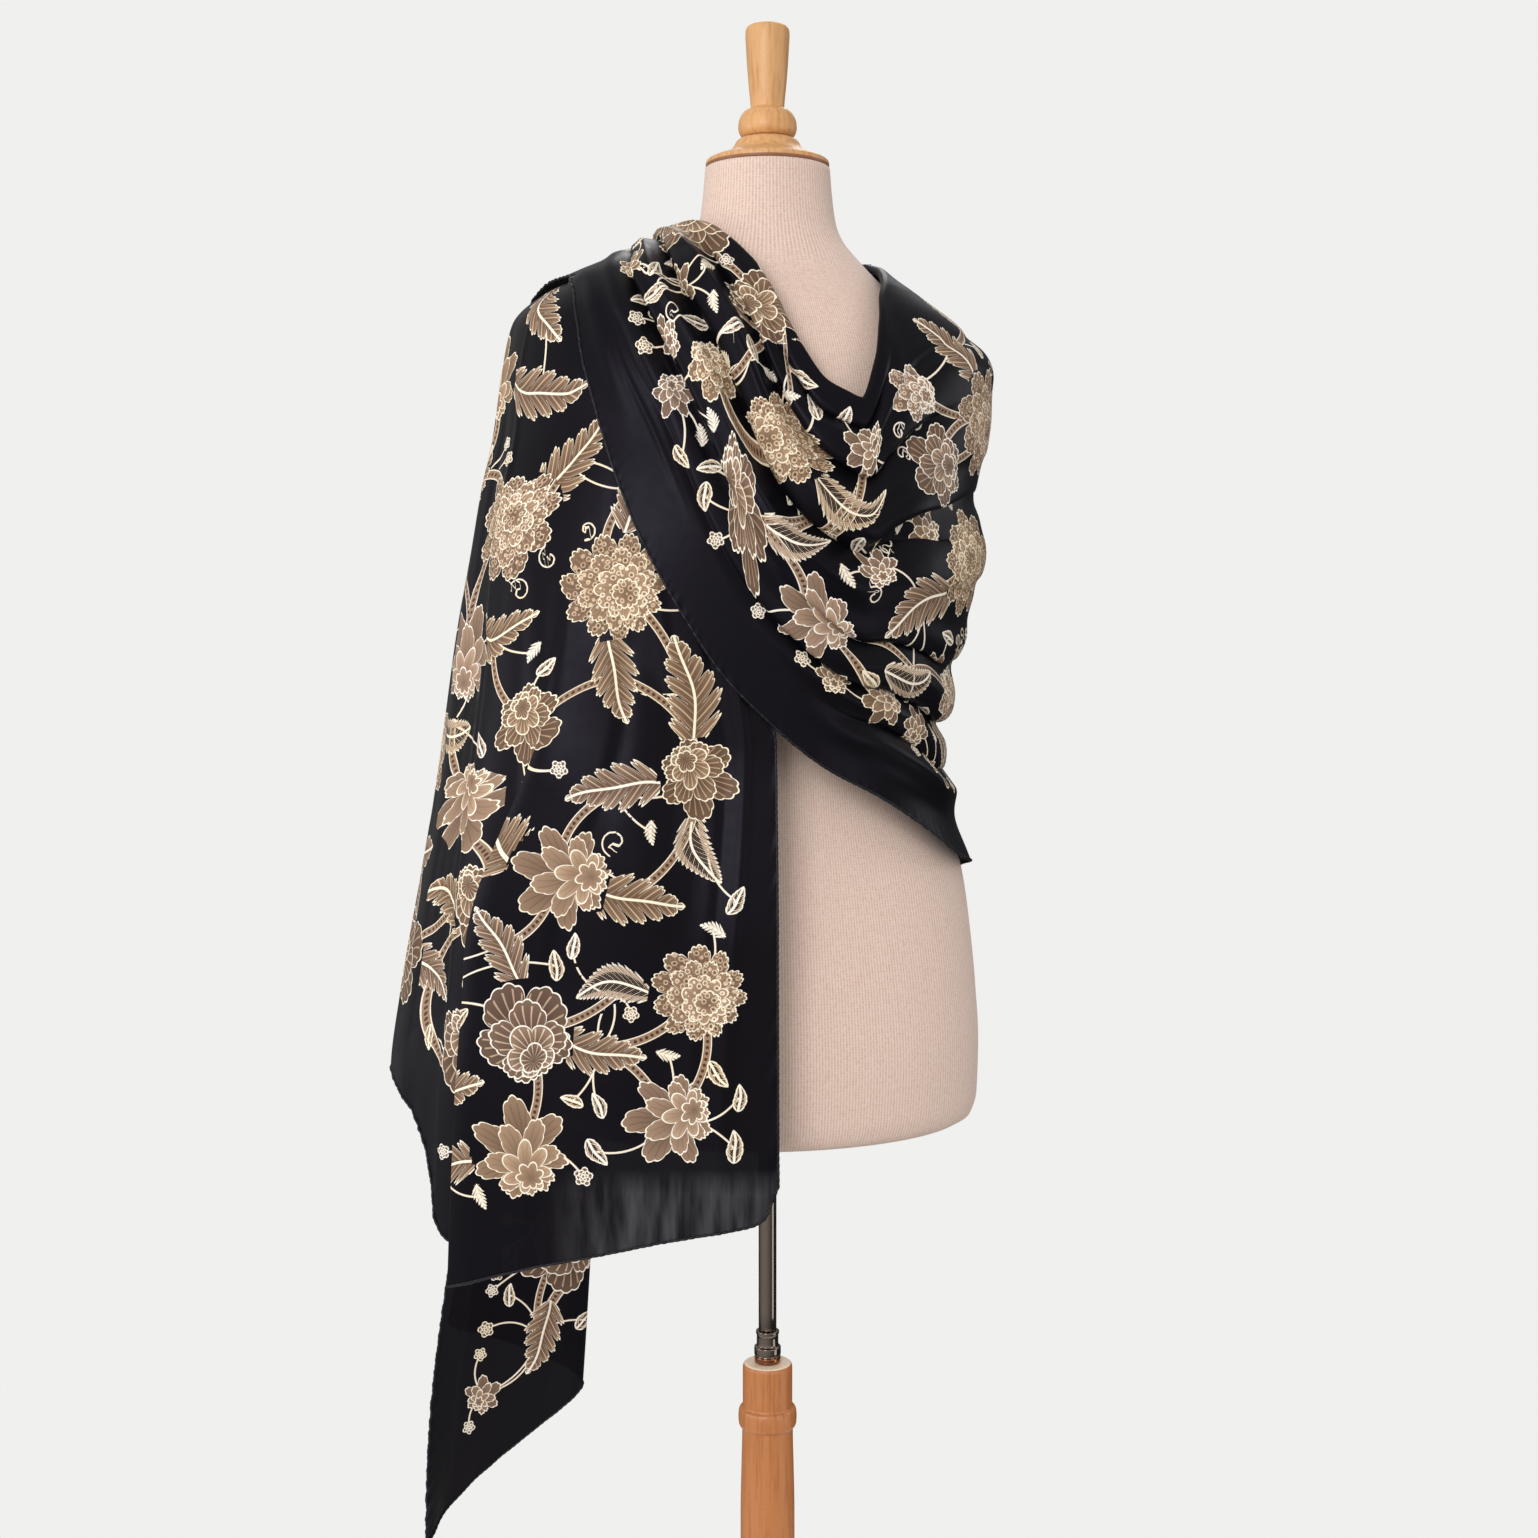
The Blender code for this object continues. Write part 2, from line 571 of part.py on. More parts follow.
def main():
    clear_scene()
    collection = bpy.data.collections.new("Silk shawl on a dress form")
    bpy.context.scene.collection.children.link(collection)

    satin = finish_material("Silk satin", (0.008, 0.007, 0.012), 0.35)
    jersey = finish_material("Ribbed cotton jersey", (0.80, 0.69, 0.60), 0.9)
    beech = finish_material("Lacquered beech", (0.74, 0.45, 0.18), 0.4)
    stained = finish_material("Stained beech", (0.55, 0.29, 0.11), 0.45)
    chrome = finish_material("Chromed steel", (0.8, 0.8, 0.8), 0.12, 1.0)

    wrap = wrap_points()
    pull_back(wrap, 1, 0)
    pull_back(wrap, 1, -1)
    back = back_points()
    pull_back(back, 1, 0)
    pull_back(back, 1, -1)
    front_end = front_end_points()
    pull_back(front_end, 1, -1)
    back_end = back_end_points()
    pull_back(back_end, 0, 0)
    add_cloth("shawl_front_wrap", wrap, satin, collection)
    add_cloth("shawl_back", back, satin, collection)
    add_cloth("shawl_front_end", front_end, satin, collection)
    add_cloth("shawl_back_end", back_end, satin, collection)

    add_torso(jersey, collection)
    add_turned("neck_cap", NECK_CAP, 24, beech, collection)
    add_turned("neck_finial", FINIAL, 20, beech, collection)
    add_rod("stand_tube", TUBE_RADIUS, COLLAR_TOP + GAP, FORM_BOTTOM - GAP, 16, chrome, collection)
    add_rod("tube_collar", COLLAR_RADIUS, POST_TOP + GAP, COLLAR_TOP, 16, chrome, collection)
    add_turned("stand_post", POST, 20, stained, collection)
    add_turned("stand_base", BASE, 32, stained, collection)


main()
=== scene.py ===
"""A printed silk shawl wound round a dress form: the finished pieces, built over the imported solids.

Metres, +Z up, with the stand on the Z axis and the front of the form towards -Y. Tables are in
millimetres and degrees. Azimuth is about the Z axis: 0 is the viewer's right, -90 the front.
"""

import math
from collections import namedtuple

import bpy
import mathutils
import numpy as np
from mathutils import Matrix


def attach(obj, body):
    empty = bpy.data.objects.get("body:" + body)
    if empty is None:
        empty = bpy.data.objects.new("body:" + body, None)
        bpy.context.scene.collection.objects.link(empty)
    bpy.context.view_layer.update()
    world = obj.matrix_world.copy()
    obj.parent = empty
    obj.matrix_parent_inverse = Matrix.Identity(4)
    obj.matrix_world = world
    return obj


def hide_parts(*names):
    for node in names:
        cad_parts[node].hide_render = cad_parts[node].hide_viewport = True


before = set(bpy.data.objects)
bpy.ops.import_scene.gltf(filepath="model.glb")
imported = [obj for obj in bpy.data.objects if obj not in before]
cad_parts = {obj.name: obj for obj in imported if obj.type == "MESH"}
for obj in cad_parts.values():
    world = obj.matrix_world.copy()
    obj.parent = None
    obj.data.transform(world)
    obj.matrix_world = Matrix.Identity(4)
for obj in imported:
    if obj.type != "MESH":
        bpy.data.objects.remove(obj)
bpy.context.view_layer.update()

# The base
# The real piece is a round foot turned from beech, stained a reddish brown and lacquered.
# The post is screwed into its centre from below.

MM = 0.001
BASE_PROFILE = [
    (0, 24), (30, 24), (75, 22.6), (120, 20), (146, 17.4), (158, 15), (163.5, 12.5), (165, 10),
    (165, 4), (164, 1.2), (162, 0), (0, 0),
]
BASE_SIDES = 128
STAINED_LIGHT = "#B97440"
STAINED_DARK = "#A0602F"
STAINED_ROUGHNESS = 0.42
GRAIN_SPACING = 3.2 * MM
GRAIN_STRETCH = 0.06
RAY_FLECK_LENGTH = 2.5 * MM
RAY_FLECK_SLIMNESS = 2.5


def linear(code):
    """A colour's linear red, green, blue and alpha, from its sRGB hex code."""
    channels = [int(code[i : i + 2], 16) / 255 for i in (1, 3, 5)]
    bent = [c / 12.92 if c <= 0.04045 else ((c + 0.055) / 1.055) ** 2.4 for c in channels]
    return (*bent, 1.0)


def add(tree, kind, inputs=None, stops=(), out=0, **settings):
    """Adds a node with its settings, and gives one of its outputs. Each input is a plain value, an
    output or a term, and the stops of a ramp are its (place, hex code) pairs."""
    node = tree.nodes.new("ShaderNode" + kind)
    for name, value in settings.items():
        setattr(node, name, value)
    for name, value in (inputs or {}).items():
        value = getattr(value, "socket", value)
        if isinstance(value, bpy.types.NodeSocket):
            tree.links.new(value, node.inputs[name])
        else:
            node.inputs[name].default_value = value
    for number, (place, code) in enumerate(stops):
        elements = node.color_ramp.elements
        element = elements[number] if number < 2 else elements.new(place)
        element.position = place
        element.color = linear(code)
    return node.outputs[out]


def new_material(name, **values):
    """A material with one Principled shader, and its tree and shader. Names use _ for a space."""
    material = bpy.data.materials.new(name)
    material.use_nodes = True
    shader = material.node_tree.nodes["Principled BSDF"]
    for field, value in values.items():
        shader.inputs[field.replace("_", " ")].default_value = value
    return material, material.node_tree, shader


def link_shader(tree, shader, colour, height, strength, depth):
    """Links a material's shader to its colour, unless that is plain, and to the relief of a height."""
    bump = add(tree, "Bump", {"Height": height, "Strength": strength, "Distance": depth})
    tree.links.new(bump, shader.inputs["Normal"])
    if colour:
        tree.links.new(colour, shader.inputs["Base Color"])


def turned_beech(name, light, dark, roughness):
    """Beech, turned and lacquered: growth rings drawn out along Z, short darker ray flecks, and a
    clear lacquer that gives small sharp lights over a satin ground."""
    material, tree, shader = new_material(name, Roughness=roughness, Coat_Weight=0.15, Coat_Roughness=0.30)
    place = add(tree, "TexCoord", out="Object")
    along = add(tree, "Mapping", {"Vector": place, "Scale": (1, 1, GRAIN_STRETCH)})
    rings = {"Vector": along, "Scale": 1 / GRAIN_SPACING, "Detail": 4.0, "Roughness": 0.6}
    grain = add(tree, "TexNoise", rings)
    squeezed = add(tree, "Mapping", {"Vector": place, "Scale": (RAY_FLECK_SLIMNESS, RAY_FLECK_SLIMNESS, 1)})
    far = add(tree, "TexVoronoi", {"Vector": squeezed, "Scale": 0.5 / RAY_FLECK_LENGTH}, out="Distance")
    fade = {"Value": far, "From Min": 0.04, "From Max": 0.26, "To Min": 0.55, "To Max": 0}
    mark = add(tree, "MapRange", fade)
    ground = add(tree, "ValToRGB", {"Fac": grain}, [(0.30, dark), (0.52, light), (0.75, light)])
    colour = add(tree, "Mix", {0: mark, 6: ground, 7: linear(dark)}, out=2, data_type="RGBA")
    link_shader(tree, shader, colour, grain, 0.08, 0.3 * MM)
    return material


def flow(at, places, heights):
    """A smooth curve through the points, in cubic pieces whose slopes are the harmonic mean of the
    steps on each side, so that it never swings past them."""
    order = np.argsort(places)
    places, heights = places[order], heights[order]
    step = np.diff(places)
    slope = np.diff(heights) / step
    before, after = slope[:-1], slope[1:]
    same_way = before * after > 0
    total = np.where(same_way, before + after, 1.0)
    tangent = np.empty_like(heights)
    tangent[0], tangent[-1] = slope[0], slope[-1]
    tangent[1:-1] = np.where(same_way, 2 * before * after / total, 0.0)
    piece = np.clip(np.searchsorted(places, at) - 1, 0, len(step) - 1)
    t = np.clip((at - places[piece]) / step[piece], 0.0, 1.0)
    left = (1 + 2 * t) * (1 - t) ** 2 * heights[piece] + t * (1 - t) ** 2 * step[piece] * tangent[piece]
    right = t * t * (3 - 2 * t) * heights[piece + 1] - t * t * (1 - t) * step[piece] * tangent[piece + 1]
    return left + right


def add_piece(name, points, faces, material):
    """A mesh of points and faces as a smooth piece of the part."""
    mesh = bpy.data.meshes.new(name)
    mesh.from_pydata(points.tolist(), [], faces.tolist() if hasattr(faces, "tolist") else faces)
    mesh.materials.append(material)
    mesh.shade_smooth()
    piece = bpy.data.objects.new(name, mesh)
    bpy.context.scene.collection.objects.link(piece)
    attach(piece, "root")
    return piece


def ringed_piece(name, rings, material):
    """Rings of points, rows by columns, joined into a closed surface. The first and last rings
    shrink to one point each, so that both poles are closed."""
    rows, columns = rings.shape[:2]
    index = np.arange(rows * columns).reshape(rows, columns)
    index[0], index[-1] = 0, 1
    index[1:-1] -= columns - 2
    index = np.concatenate([index, index[:, :1]], axis=1)
    corners = np.stack([index[:-1, :-1], index[:-1, 1:], index[1:, 1:], index[1:, :-1]], axis=-1)
    sides = corners[1:-1].reshape(-1, 4).tolist()
    first, last = corners[0][:, [0, 2, 3]].tolist(), corners[-1][:, [0, 1, 2]].tolist()
    points = np.concatenate([rings[0, :1], rings[-1, :1], rings[1:-1].reshape(-1, 3)])
    return add_piece(name, points, first + sides + last, material)


def length_along(path):
    """The length from the start of a path to each of its points."""
    return np.concatenate([[0], np.cumsum(np.linalg.norm(np.diff(path, axis=0), axis=1))])


def angles_round(sides):
    """Angles at even steps round a circle."""
    return np.linspace(0, 2 * math.pi, sides, endpoint=False)


def turned(name, profile, sides, material, finer=6):
    """A turned piece. Radius and height run along the profile as smooth curves of its length, and
    each point is carried round the axis: x = r cos(a), y = -r sin(a)."""
    outline = np.array(profile, float) * MM
    along = length_along(outline)
    at = [np.linspace(a, b, finer, endpoint=False) for a, b in zip(along, along[1:])]
    at = np.concatenate([*at, along[-1:]])
    radius, height = (flow(at, along, outline[:, k])[:, None] for k in (0, 1))
    angle = angles_round(sides)[None, :]
    rings = np.stack([radius * np.cos(angle), -radius * np.sin(angle), height + 0 * angle], axis=-1)
    return ringed_piece(name, rings, material)


stained_beech = turned_beech("stained_turned_beech", STAINED_LIGHT, STAINED_DARK, STAINED_ROUGHNESS)
base = turned("base", BASE_PROFILE, BASE_SIDES, stained_beech)
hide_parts("stand_base")

# The post
# The real piece is the same stained beech, turned with one raised ring below its top. It is
# bored through, and the steel tube slides in it.

POST_PROFILE = [
    (0, 484), (12, 484), (17.5, 484), (19.6, 482.8), (20.3, 480), (20.3, 465), (20.3, 449.5), (20.9, 447.8),
    (22.6, 446.5), (23.6, 444), (23.9, 439), (23.6, 434), (22.6, 431.5), (21.2, 430.3), (20.8, 428),
    (21.4, 400), (22.2, 360), (22.4, 200), (23, 60), (25, 32), (27, 24.2), (0, 24.2),
]
POST_SIDES = 96
# The top face is painted pale, a painted highlight where the light from above falls on it
PAINTED_TOP_HIGHLIGHT = "#EBD6BE"
TOP_HIGHLIGHT_FROM, TOP_HIGHLIGHT_TO = 483.3 * MM, 485 * MM


class Term:
    """A number that a material works out at each point, so that its formulas read as plain ones."""

    def __init__(self, socket):
        self.socket = socket

    def __abs__(self):
        return compute("ABSOLUTE", self)


def compute(operation, *inputs):
    """An operation on terms and plain numbers, worked out at each point, as a new term."""
    tree = next(value.socket.id_data for value in inputs if isinstance(value, Term))
    return Term(add(tree, "Math", dict(enumerate(inputs)), operation=operation))


SIGNS = {
    "add": "ADD", "sub": "SUBTRACT", "mul": "MULTIPLY", "truediv": "DIVIDE", "pow": "POWER",
    "lt": "LESS_THAN", "gt": "GREATER_THAN",
}
for sign, operation in SIGNS.items():
    setattr(Term, f"__{sign}__", lambda a, b, operation=operation: compute(operation, a, b))
    setattr(Term, f"__r{sign}__", lambda a, b, operation=operation: compute(operation, b, a))


def with_zone(plain, name, low, high, colour):
    """A copy of a turned piece's material that has another colour between two heights."""
    material = plain.copy()
    material.name = name
    tree = material.node_tree
    ground = tree.nodes["Principled BSDF"].inputs["Base Color"]
    place = add(tree, "TexCoord", out="Object")
    z = Term(add(tree, "SeparateXYZ", {0: place}, out=2))
    inside = abs(z - (low + high) / 2) < (high - low) / 2
    under = ground.links[0].from_socket if ground.links else tuple(ground.default_value)
    zoned = add(tree, "Mix", {0: inside, 6: under, 7: linear(colour)}, out=2, data_type="RGBA")
    tree.links.new(zoned, ground)
    return material


# The post's material paints its top face pale, a painted highlight
post_beech = with_zone(stained_beech, "stained_turned_beech_with_painted_top_highlight", TOP_HIGHLIGHT_FROM, TOP_HIGHLIGHT_TO, PAINTED_TOP_HIGHLIGHT)
post = turned("post", POST_PROFILE, POST_SIDES, post_beech)
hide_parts("stand_post")

# The tube and its collar
# Both are steel, chromed over a drawn surface. The collar is a sleeve with a nut and a copper
# washer under it, and it clamps the tube where it enters the post.

COLLAR_PROFILE = [
    (0, 511), (7.4, 511), (8.8, 510.9), (9.5, 510.3), (9.5, 508.6), (8.9, 508), (8.9, 498.6), (9.6, 498),
    (10.6, 497.6), (10.9, 497), (10.9, 491.6), (10.6, 491), (9.6, 490.6), (9.8, 490), (10.7, 489.4),
    (10.7, 485.4), (10.4, 484.8), (0, 484.3),
]
TUBE_PROFILE = [
    (0, 688.7), (7, 688.7), (7.3, 688.4), (7.3, 640), (7.3, 560), (7.3, 511.6), (7, 511.3), (0, 511.3),
]
TUBE_SIDES = 64
DRAWN_LINES = 0.35 * MM
DRAWN_STRETCH = 0.02
WASHER_FROM, WASHER_TO = 484 * MM, 489.9 * MM
# The chrome's colour is darkened to a brown grey, a painted reflection of a dark room around it
CHROME_WITH_PAINTED_DARK_REFLECTION = "#7A6E66"
COPPER = "#8A5A40"


def chromed_steel():
    """Chrome plate over drawn steel: a near mirror whose colour is darkened to a brown grey, a painted
    reflection of the dark room around it, with faint lines along the tube that draw its lights out a little."""
    material, tree, shader = new_material(
        "chromed_drawn_steel", Metallic=1.0, Roughness=0.11, Base_Color=linear(CHROME_WITH_PAINTED_DARK_REFLECTION)
    )
    place = add(tree, "TexCoord", out="Object")
    drawn = add(tree, "Mapping", {"Vector": place, "Scale": (1, 1, DRAWN_STRETCH)})
    lines = add(tree, "TexNoise", {"Vector": drawn, "Scale": 1 / DRAWN_LINES, "Detail": 2.0})
    link_shader(tree, shader, None, lines, 0.05, 0.05 * MM)
    return material


chrome = chromed_steel()
tube = turned("tube", TUBE_PROFILE, TUBE_SIDES, chrome, finer=3)
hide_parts("stand_tube")
collar_chrome = with_zone(chrome, "chromed_steel_with_copper_washer", WASHER_FROM, WASHER_TO, COPPER)
collar = turned("collar", COLLAR_PROFILE, TUBE_SIDES, collar_chrome, finer=3)
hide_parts("tube_collar")

# The torso
# The real piece is a padded shell, flat underneath, covered with a sleeve of cream cotton jersey.
# The jersey's ribs run upright, and it is stretched over the form and pinned under the neck cap.

# Up the torso: height, half-width, and depth in front and behind
TORSO = [
    (689, 159, 115, 110), (693, 166, 121, 116), (710, 171, 126, 121), (751, 172, 128, 124),
    (800, 169, 125, 123), (840, 165, 120, 118), (893, 157, 112, 107), (940, 137, 104, 94),
    (990, 118, 100, 85), (1060, 130, 111, 88), (1140, 151, 122, 97), (1240, 165, 109, 102),
    (1285, 164, 99, 97), (1310, 147, 90, 90), (1335, 114, 78, 79), (1355, 89, 69, 70), (1372, 72, 62, 63),
    (1386, 60, 56, 57), (1400, 54, 52, 53), (1420, 51, 50, 50), (1443, 49, 49, 49),
]
TORSO_TURN = 8.0
TORSO_RINGS = 190
TORSO_SIDES = 200
JERSEY_LIGHT = "#E1CABD"
JERSEY_SHADE = "#C6A492"
# The real ribs are 1.6 mm apart. They are drawn about 2.6 mm apart so that they show, so there
# are fewer of them round the neck, where the sleeve is gathered in.
RIBS_AROUND = 340
NECK_RIBS_AROUND = 120
NECK_RIBS_FROM, NECK_RIBS_TO = 1355 * MM, 1375 * MM
STITCH_HEIGHT = 2.2 * MM
FUZZ_SIZE = 2.4 * MM
STITCH_TO_RIB = 0.20
FUZZ_TONE, KNIT_TONE = 0.66, 0.26


def torso_rings():
    """Ovals up the torso: x = side cos(a), y = front or back times sin(a), all turned a little. The
    first and last rings shrink to the axis, so that the ends are flat and closed."""
    heights, *widths = np.array(TORSO, float).T
    level = np.linspace(heights[0], heights[-1], TORSO_RINGS)
    level = np.concatenate([[level[0]] * 4, level, [level[-1]] * 3])
    shrink = np.concatenate([[0, 0.5, 0.97, 0.995], np.ones(TORSO_RINGS), [0.99, 0.5, 0]])[:, None]
    side, front, back = (flow(level, heights, width)[:, None] * shrink * MM for width in widths)
    angle = angles_round(TORSO_SIDES)[None, :]
    x, y = side * np.cos(angle), np.where(np.sin(angle) >= 0, back, front) * np.sin(angle)
    turn = math.radians(TORSO_TURN)
    turned_x, turned_y = x * math.cos(turn) - y * math.sin(turn), x * math.sin(turn) + y * math.cos(turn)
    return np.stack([turned_x, turned_y, level[:, None] * MM + 0 * x], axis=-1)


def ribbed_jersey():
    """Fine rib jersey in cream cotton: soft upright ribs with rows of stitches, a dry matte face
    with a little fuzz at grazing angles, and slight mottling from the yarn."""
    material, tree, shader = new_material(
        "ribbed_cotton_jersey", Roughness=0.92, Sheen_Weight=0.25, Sheen_Roughness=0.5, Specular_IOR_Level=0.2
    )
    place = add(tree, "TexCoord", out="Object")
    x, y, z = map(Term, add(tree, "SeparateXYZ", {0: place}).node.outputs)
    azimuth = compute("ARCTAN2", y, x)
    torso_rib, neck_rib = (compute("SINE", azimuth * ribs) for ribs in (RIBS_AROUND, NECK_RIBS_AROUND))
    up_neck = {"Value": z, "From Min": NECK_RIBS_FROM, "From Max": NECK_RIBS_TO}
    up_neck = Term(add(tree, "MapRange", up_neck))
    rib = (neck_rib - torso_rib) * up_neck + torso_rib
    stitch = compute("SINE", z * (2 * math.pi / STITCH_HEIGHT))
    knit = (stitch * STITCH_TO_RIB + rib) * 0.5 + 0.5
    yarn = {"Vector": place, "Scale": 1 / FUZZ_SIZE, "Detail": 5.0, "Roughness": 0.7}
    tone = Term(add(tree, "TexNoise", yarn)) * FUZZ_TONE + knit * KNIT_TONE
    stops = [(0.22, JERSEY_SHADE), (0.56, JERSEY_LIGHT), (0.85, JERSEY_LIGHT)]
    link_shader(tree, shader, add(tree, "ValToRGB", {"Fac": tone}, stops), tone, 0.45, 0.6 * MM)
    return material


jersey = ribbed_jersey()
torso = ringed_piece("torso", torso_rings(), jersey)
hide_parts("form_body")

# The neck cap and finial
# Both are turned from beech and clear lacquered, paler than the stand. A dowel in the finial
# holds the cap down on the jersey. The cap's lower rim is stained darker.

CAP_PROFILE = [
    (0, 1466.7), (14, 1466.7), (20, 1466.5), (24, 1464.5), (27, 1459.5), (30, 1456.6), (34, 1454.6),
    (40, 1452.4), (45, 1450.4), (48.0, 1448.6), (48.5, 1446.8), (48.3, 1444.4), (47.6, 1443.4), (0, 1443.4),
]
FINIAL_PROFILE = [
    (0, 1554), (8, 1554), (12, 1553.6), (15.6, 1552), (17, 1549.5), (17.3, 1546), (16.9, 1538), (16.2, 1526),
    (14.8, 1508), (13.4, 1494), (13.2, 1490.5), (14.4, 1489), (18, 1487.4), (21, 1483.5), (22.7, 1479),
    (23, 1475), (22.4, 1471.6), (20.8, 1468.8), (18.4, 1467.2), (0, 1467),
]
WOOD_SIDES = 112
RIM_FROM, RIM_TO = 1440 * MM, 1445.8 * MM
RIM_STAIN = "#8A5636"
CLEAR_LIGHT = "#D39F67"
CLEAR_DARK = "#BC834C"
CLEAR_ROUGHNESS = 0.50
clear_beech = turned_beech("clear_lacquered_beech", CLEAR_LIGHT, CLEAR_DARK, CLEAR_ROUGHNESS)
cap_beech = with_zone(clear_beech, "clear_lacquered_beech_with_stained_rim", RIM_FROM, RIM_TO, RIM_STAIN)
cap = turned("neck_cap_turned", CAP_PROFILE, WOOD_SIDES, cap_beech, finer=4)
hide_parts("neck_cap")
finial = turned("finial", FINIAL_PROFILE, WOOD_SIDES, clear_beech, finer=4)
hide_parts("neck_finial")

# The shawl
# The real piece is one length of printed silk satin, about 0.7 by 2.75 m. It is wound once round
# the form: an end in front, across the back, round the right side, over the chest, and an end behind.

# The surface that the cloth lies on: the form's shoulders, then the free hang below them. Each
# level is an oval of four quarters, and the quarters on the left are squarer lower down.
# Each row gives its height and turn, the half-widths to the right and left, the depths in front
# and behind, and the squareness
LAY = [
    (1430, 8, 56, 56, 54, 54, 2), (1405, 8, 60, 62, 57, 58, 2), (1388, 8, 65, 67, 62, 63, 2),
    (1372, 8, 78, 85, 69, 71, 2), (1355, 8, 97, 126, 77, 78, 2), (1340, 8, 119, 168, 85, 86, 2.1),
    (1315, 8, 151, 195, 96, 96, 2.1), (1280, 8, 173, 202, 107, 104, 2.2), (1230, 7, 170, 210, 118, 109, 2.2),
    (1190, 7, 161, 219, 125, 112, 2.3), (1150, 7, 161, 226, 130, 113, 2.4),
    (1080, 5, 150, 238, 133, 117, 2.6), (1000, 4, 130, 250, 134, 122, 2.8), (960, 3, 133, 256, 135, 126, 2.9),
    (890, 2, 158, 268, 137, 134, 3.1), (800, 0, 174, 284, 140, 141, 3.3), (730, 0, 176, 293, 142, 146, 3.4),
    (600, 0, 178, 295, 146, 150, 3.5), (450, 0, 180, 293, 150, 150, 3.5), (280, 0, 180, 284, 150, 150, 3.5),
]
RIGHT_SQUARENESS = 2.1
# The shawl's two long edges as they run round the figure: share of the stretch, azimuth, height, lift
WRAP_HEM = [
    (0, -162, 1346, 9), (0.05, -152, 1328, 9), (0.12, -143, 1276, 10), (0.2, -137, 1230, 10),
    (0.28, -130, 1184, 10), (0.35, -124, 1147, 10), (0.44, -115, 1098, 10), (0.52, -104, 1052, 10),
    (0.59, -87, 1010, 10), (0.65, -72, 981, 9), (0.71, -54, 958, 8), (0.78, -34, 929, 7), (0.85, -18, 905, 7),
    (1, 12, 890, 7),
]
WRAP_NECKLINE = [
    (0, -178, 1388, 15), (0.06, -145, 1387, 15), (0.12, -124, 1379, 14.5), (0.19, -111, 1367, 14.5),
    (0.26, -100, 1352, 14.5), (0.33, -92, 1335, 14.5), (0.39, -87, 1320, 14.5), (0.45, -83, 1305, 14),
    (0.52, -77, 1283, 15), (0.58, -70, 1262, 16), (0.63, -63, 1253, 17), (0.67, -57, 1248, 17),
    (0.71, -50, 1275, 16), (0.77, -44, 1306, 13), (0.84, -37, 1330, 8), (0.92, -16, 1356, 4.4),
    (1, 12, 1369, 4),
]
BACK_NECK_EDGE = [
    (0, 12, 1369, 4), (0.2, 42, 1376, 4.6), (0.45, 90, 1396, 6), (0.75, 145, 1396, 5), (1, 185, 1385, 5),
]
BACK_HEM = [
    (0, 12, 890, 7), (0.2, 42, 867, 6), (0.45, 90, 818, 6), (0.7, 132, 780, 6), (0.9, 168, 750, 6),
    (1, 185, 742, 6),
]
END_INNER_EDGE = [
    (0, -150, 1383, 5), (0.15, -128, 1340, 5), (0.35, -106, 1220, 5), (0.55, -92, 1060, 5),
    (0.65, -87.5, 990, 6), (1, -87, 660, 6),
]
TAIL_OUTER_EDGE = [
    (0, 198, 1346, 9), (0.08, 186, 1340, 12), (0.15, 174, 1310, 15), (0.28, 166, 1200, 17),
    (0.5, 160, 950, 20), (0.7, 155, 700, 20), (1, 166, 290, 16),
]
TAIL_INNER_EDGE = [
    (0, 182, 1388, 15), (0.08, 155, 1385, 15), (0.15, 132, 1365, 15), (0.28, 120, 1240, 17),
    (0.5, 122, 1000, 20), (0.7, 133, 760, 20), (1, 138, 400, 16),
]

# Soft folds that run along the shawl: the place across its width at each end, 0 at the lower
# edge and 1 at the neck, and where the fold starts and stops along the stretch
Fold = namedtuple("Fold", "from_place to_place start stop rise width")
WRAP_FOLDS = [Fold(*row) for row in [
    (0.16, 0.13, -0.3, 0.3, 3, 0.06), (0.34, 0.24, -0.4, 0.4, 5.5, 0.055), (0.47, 0.34, -0.4, 0.6, -9, 0.036),
    (0.56, 0.41, -0.4, 0.7, 11, 0.044), (0.69, 0.53, -0.4, 0.95, -9.5, 0.038),
    (0.78, 0.61, -0.4, 0.95, 11, 0.046), (0.89, 0.75, 0.05, 0.95, -7.5, 0.036),
    (0.9, 0.93, 0.38, 0.8, -8, 0.034), (0.84, 0.88, 0.4, 0.85, 6, 0.036), (0.78, 0.82, 0.5, 1.4, 4, 0.05),
    (0.72, 0.72, 0.45, 1.4, 2, 0.045), (0.62, 0.61, 0.5, 1.4, -7, 0.04), (0.5, 0.5, 0.45, 1.4, 8, 0.06),
    (0.43, 0.34, 0.5, 1.4, -8, 0.035), (0.36, 0.275, 0.5, 1.4, 9, 0.03), (0.29, 0.235, 0.45, 1.4, -7, 0.024),
    (0.23, 0.195, 0.5, 1.4, 7, 0.026), (0.17, 0.155, 0.6, 1.4, -7, 0.024), (0.11, 0.115, 0.6, 1.4, 12, 0.034),
]]
BACK_FOLDS = [Fold(*row) for row in [
    (0.66, 0.9, 0.05, 0.98, 5, 0.05), (0.56, 0.8, 0.1, 0.9, -4, 0.04), (0.46, 0.72, 0.05, 0.98, 8, 0.055),
    (0.36, 0.62, 0.1, 0.92, -4, 0.04), (0.28, 0.54, 0.05, 0.95, 9, 0.06), (0.18, 0.42, 0.1, 0.9, -4, 0.045),
    (0.12, 0.32, 0.05, 0.9, 9, 0.06), (0.02, 0.14, 0.15, 0.9, 6, 0.06),
]]

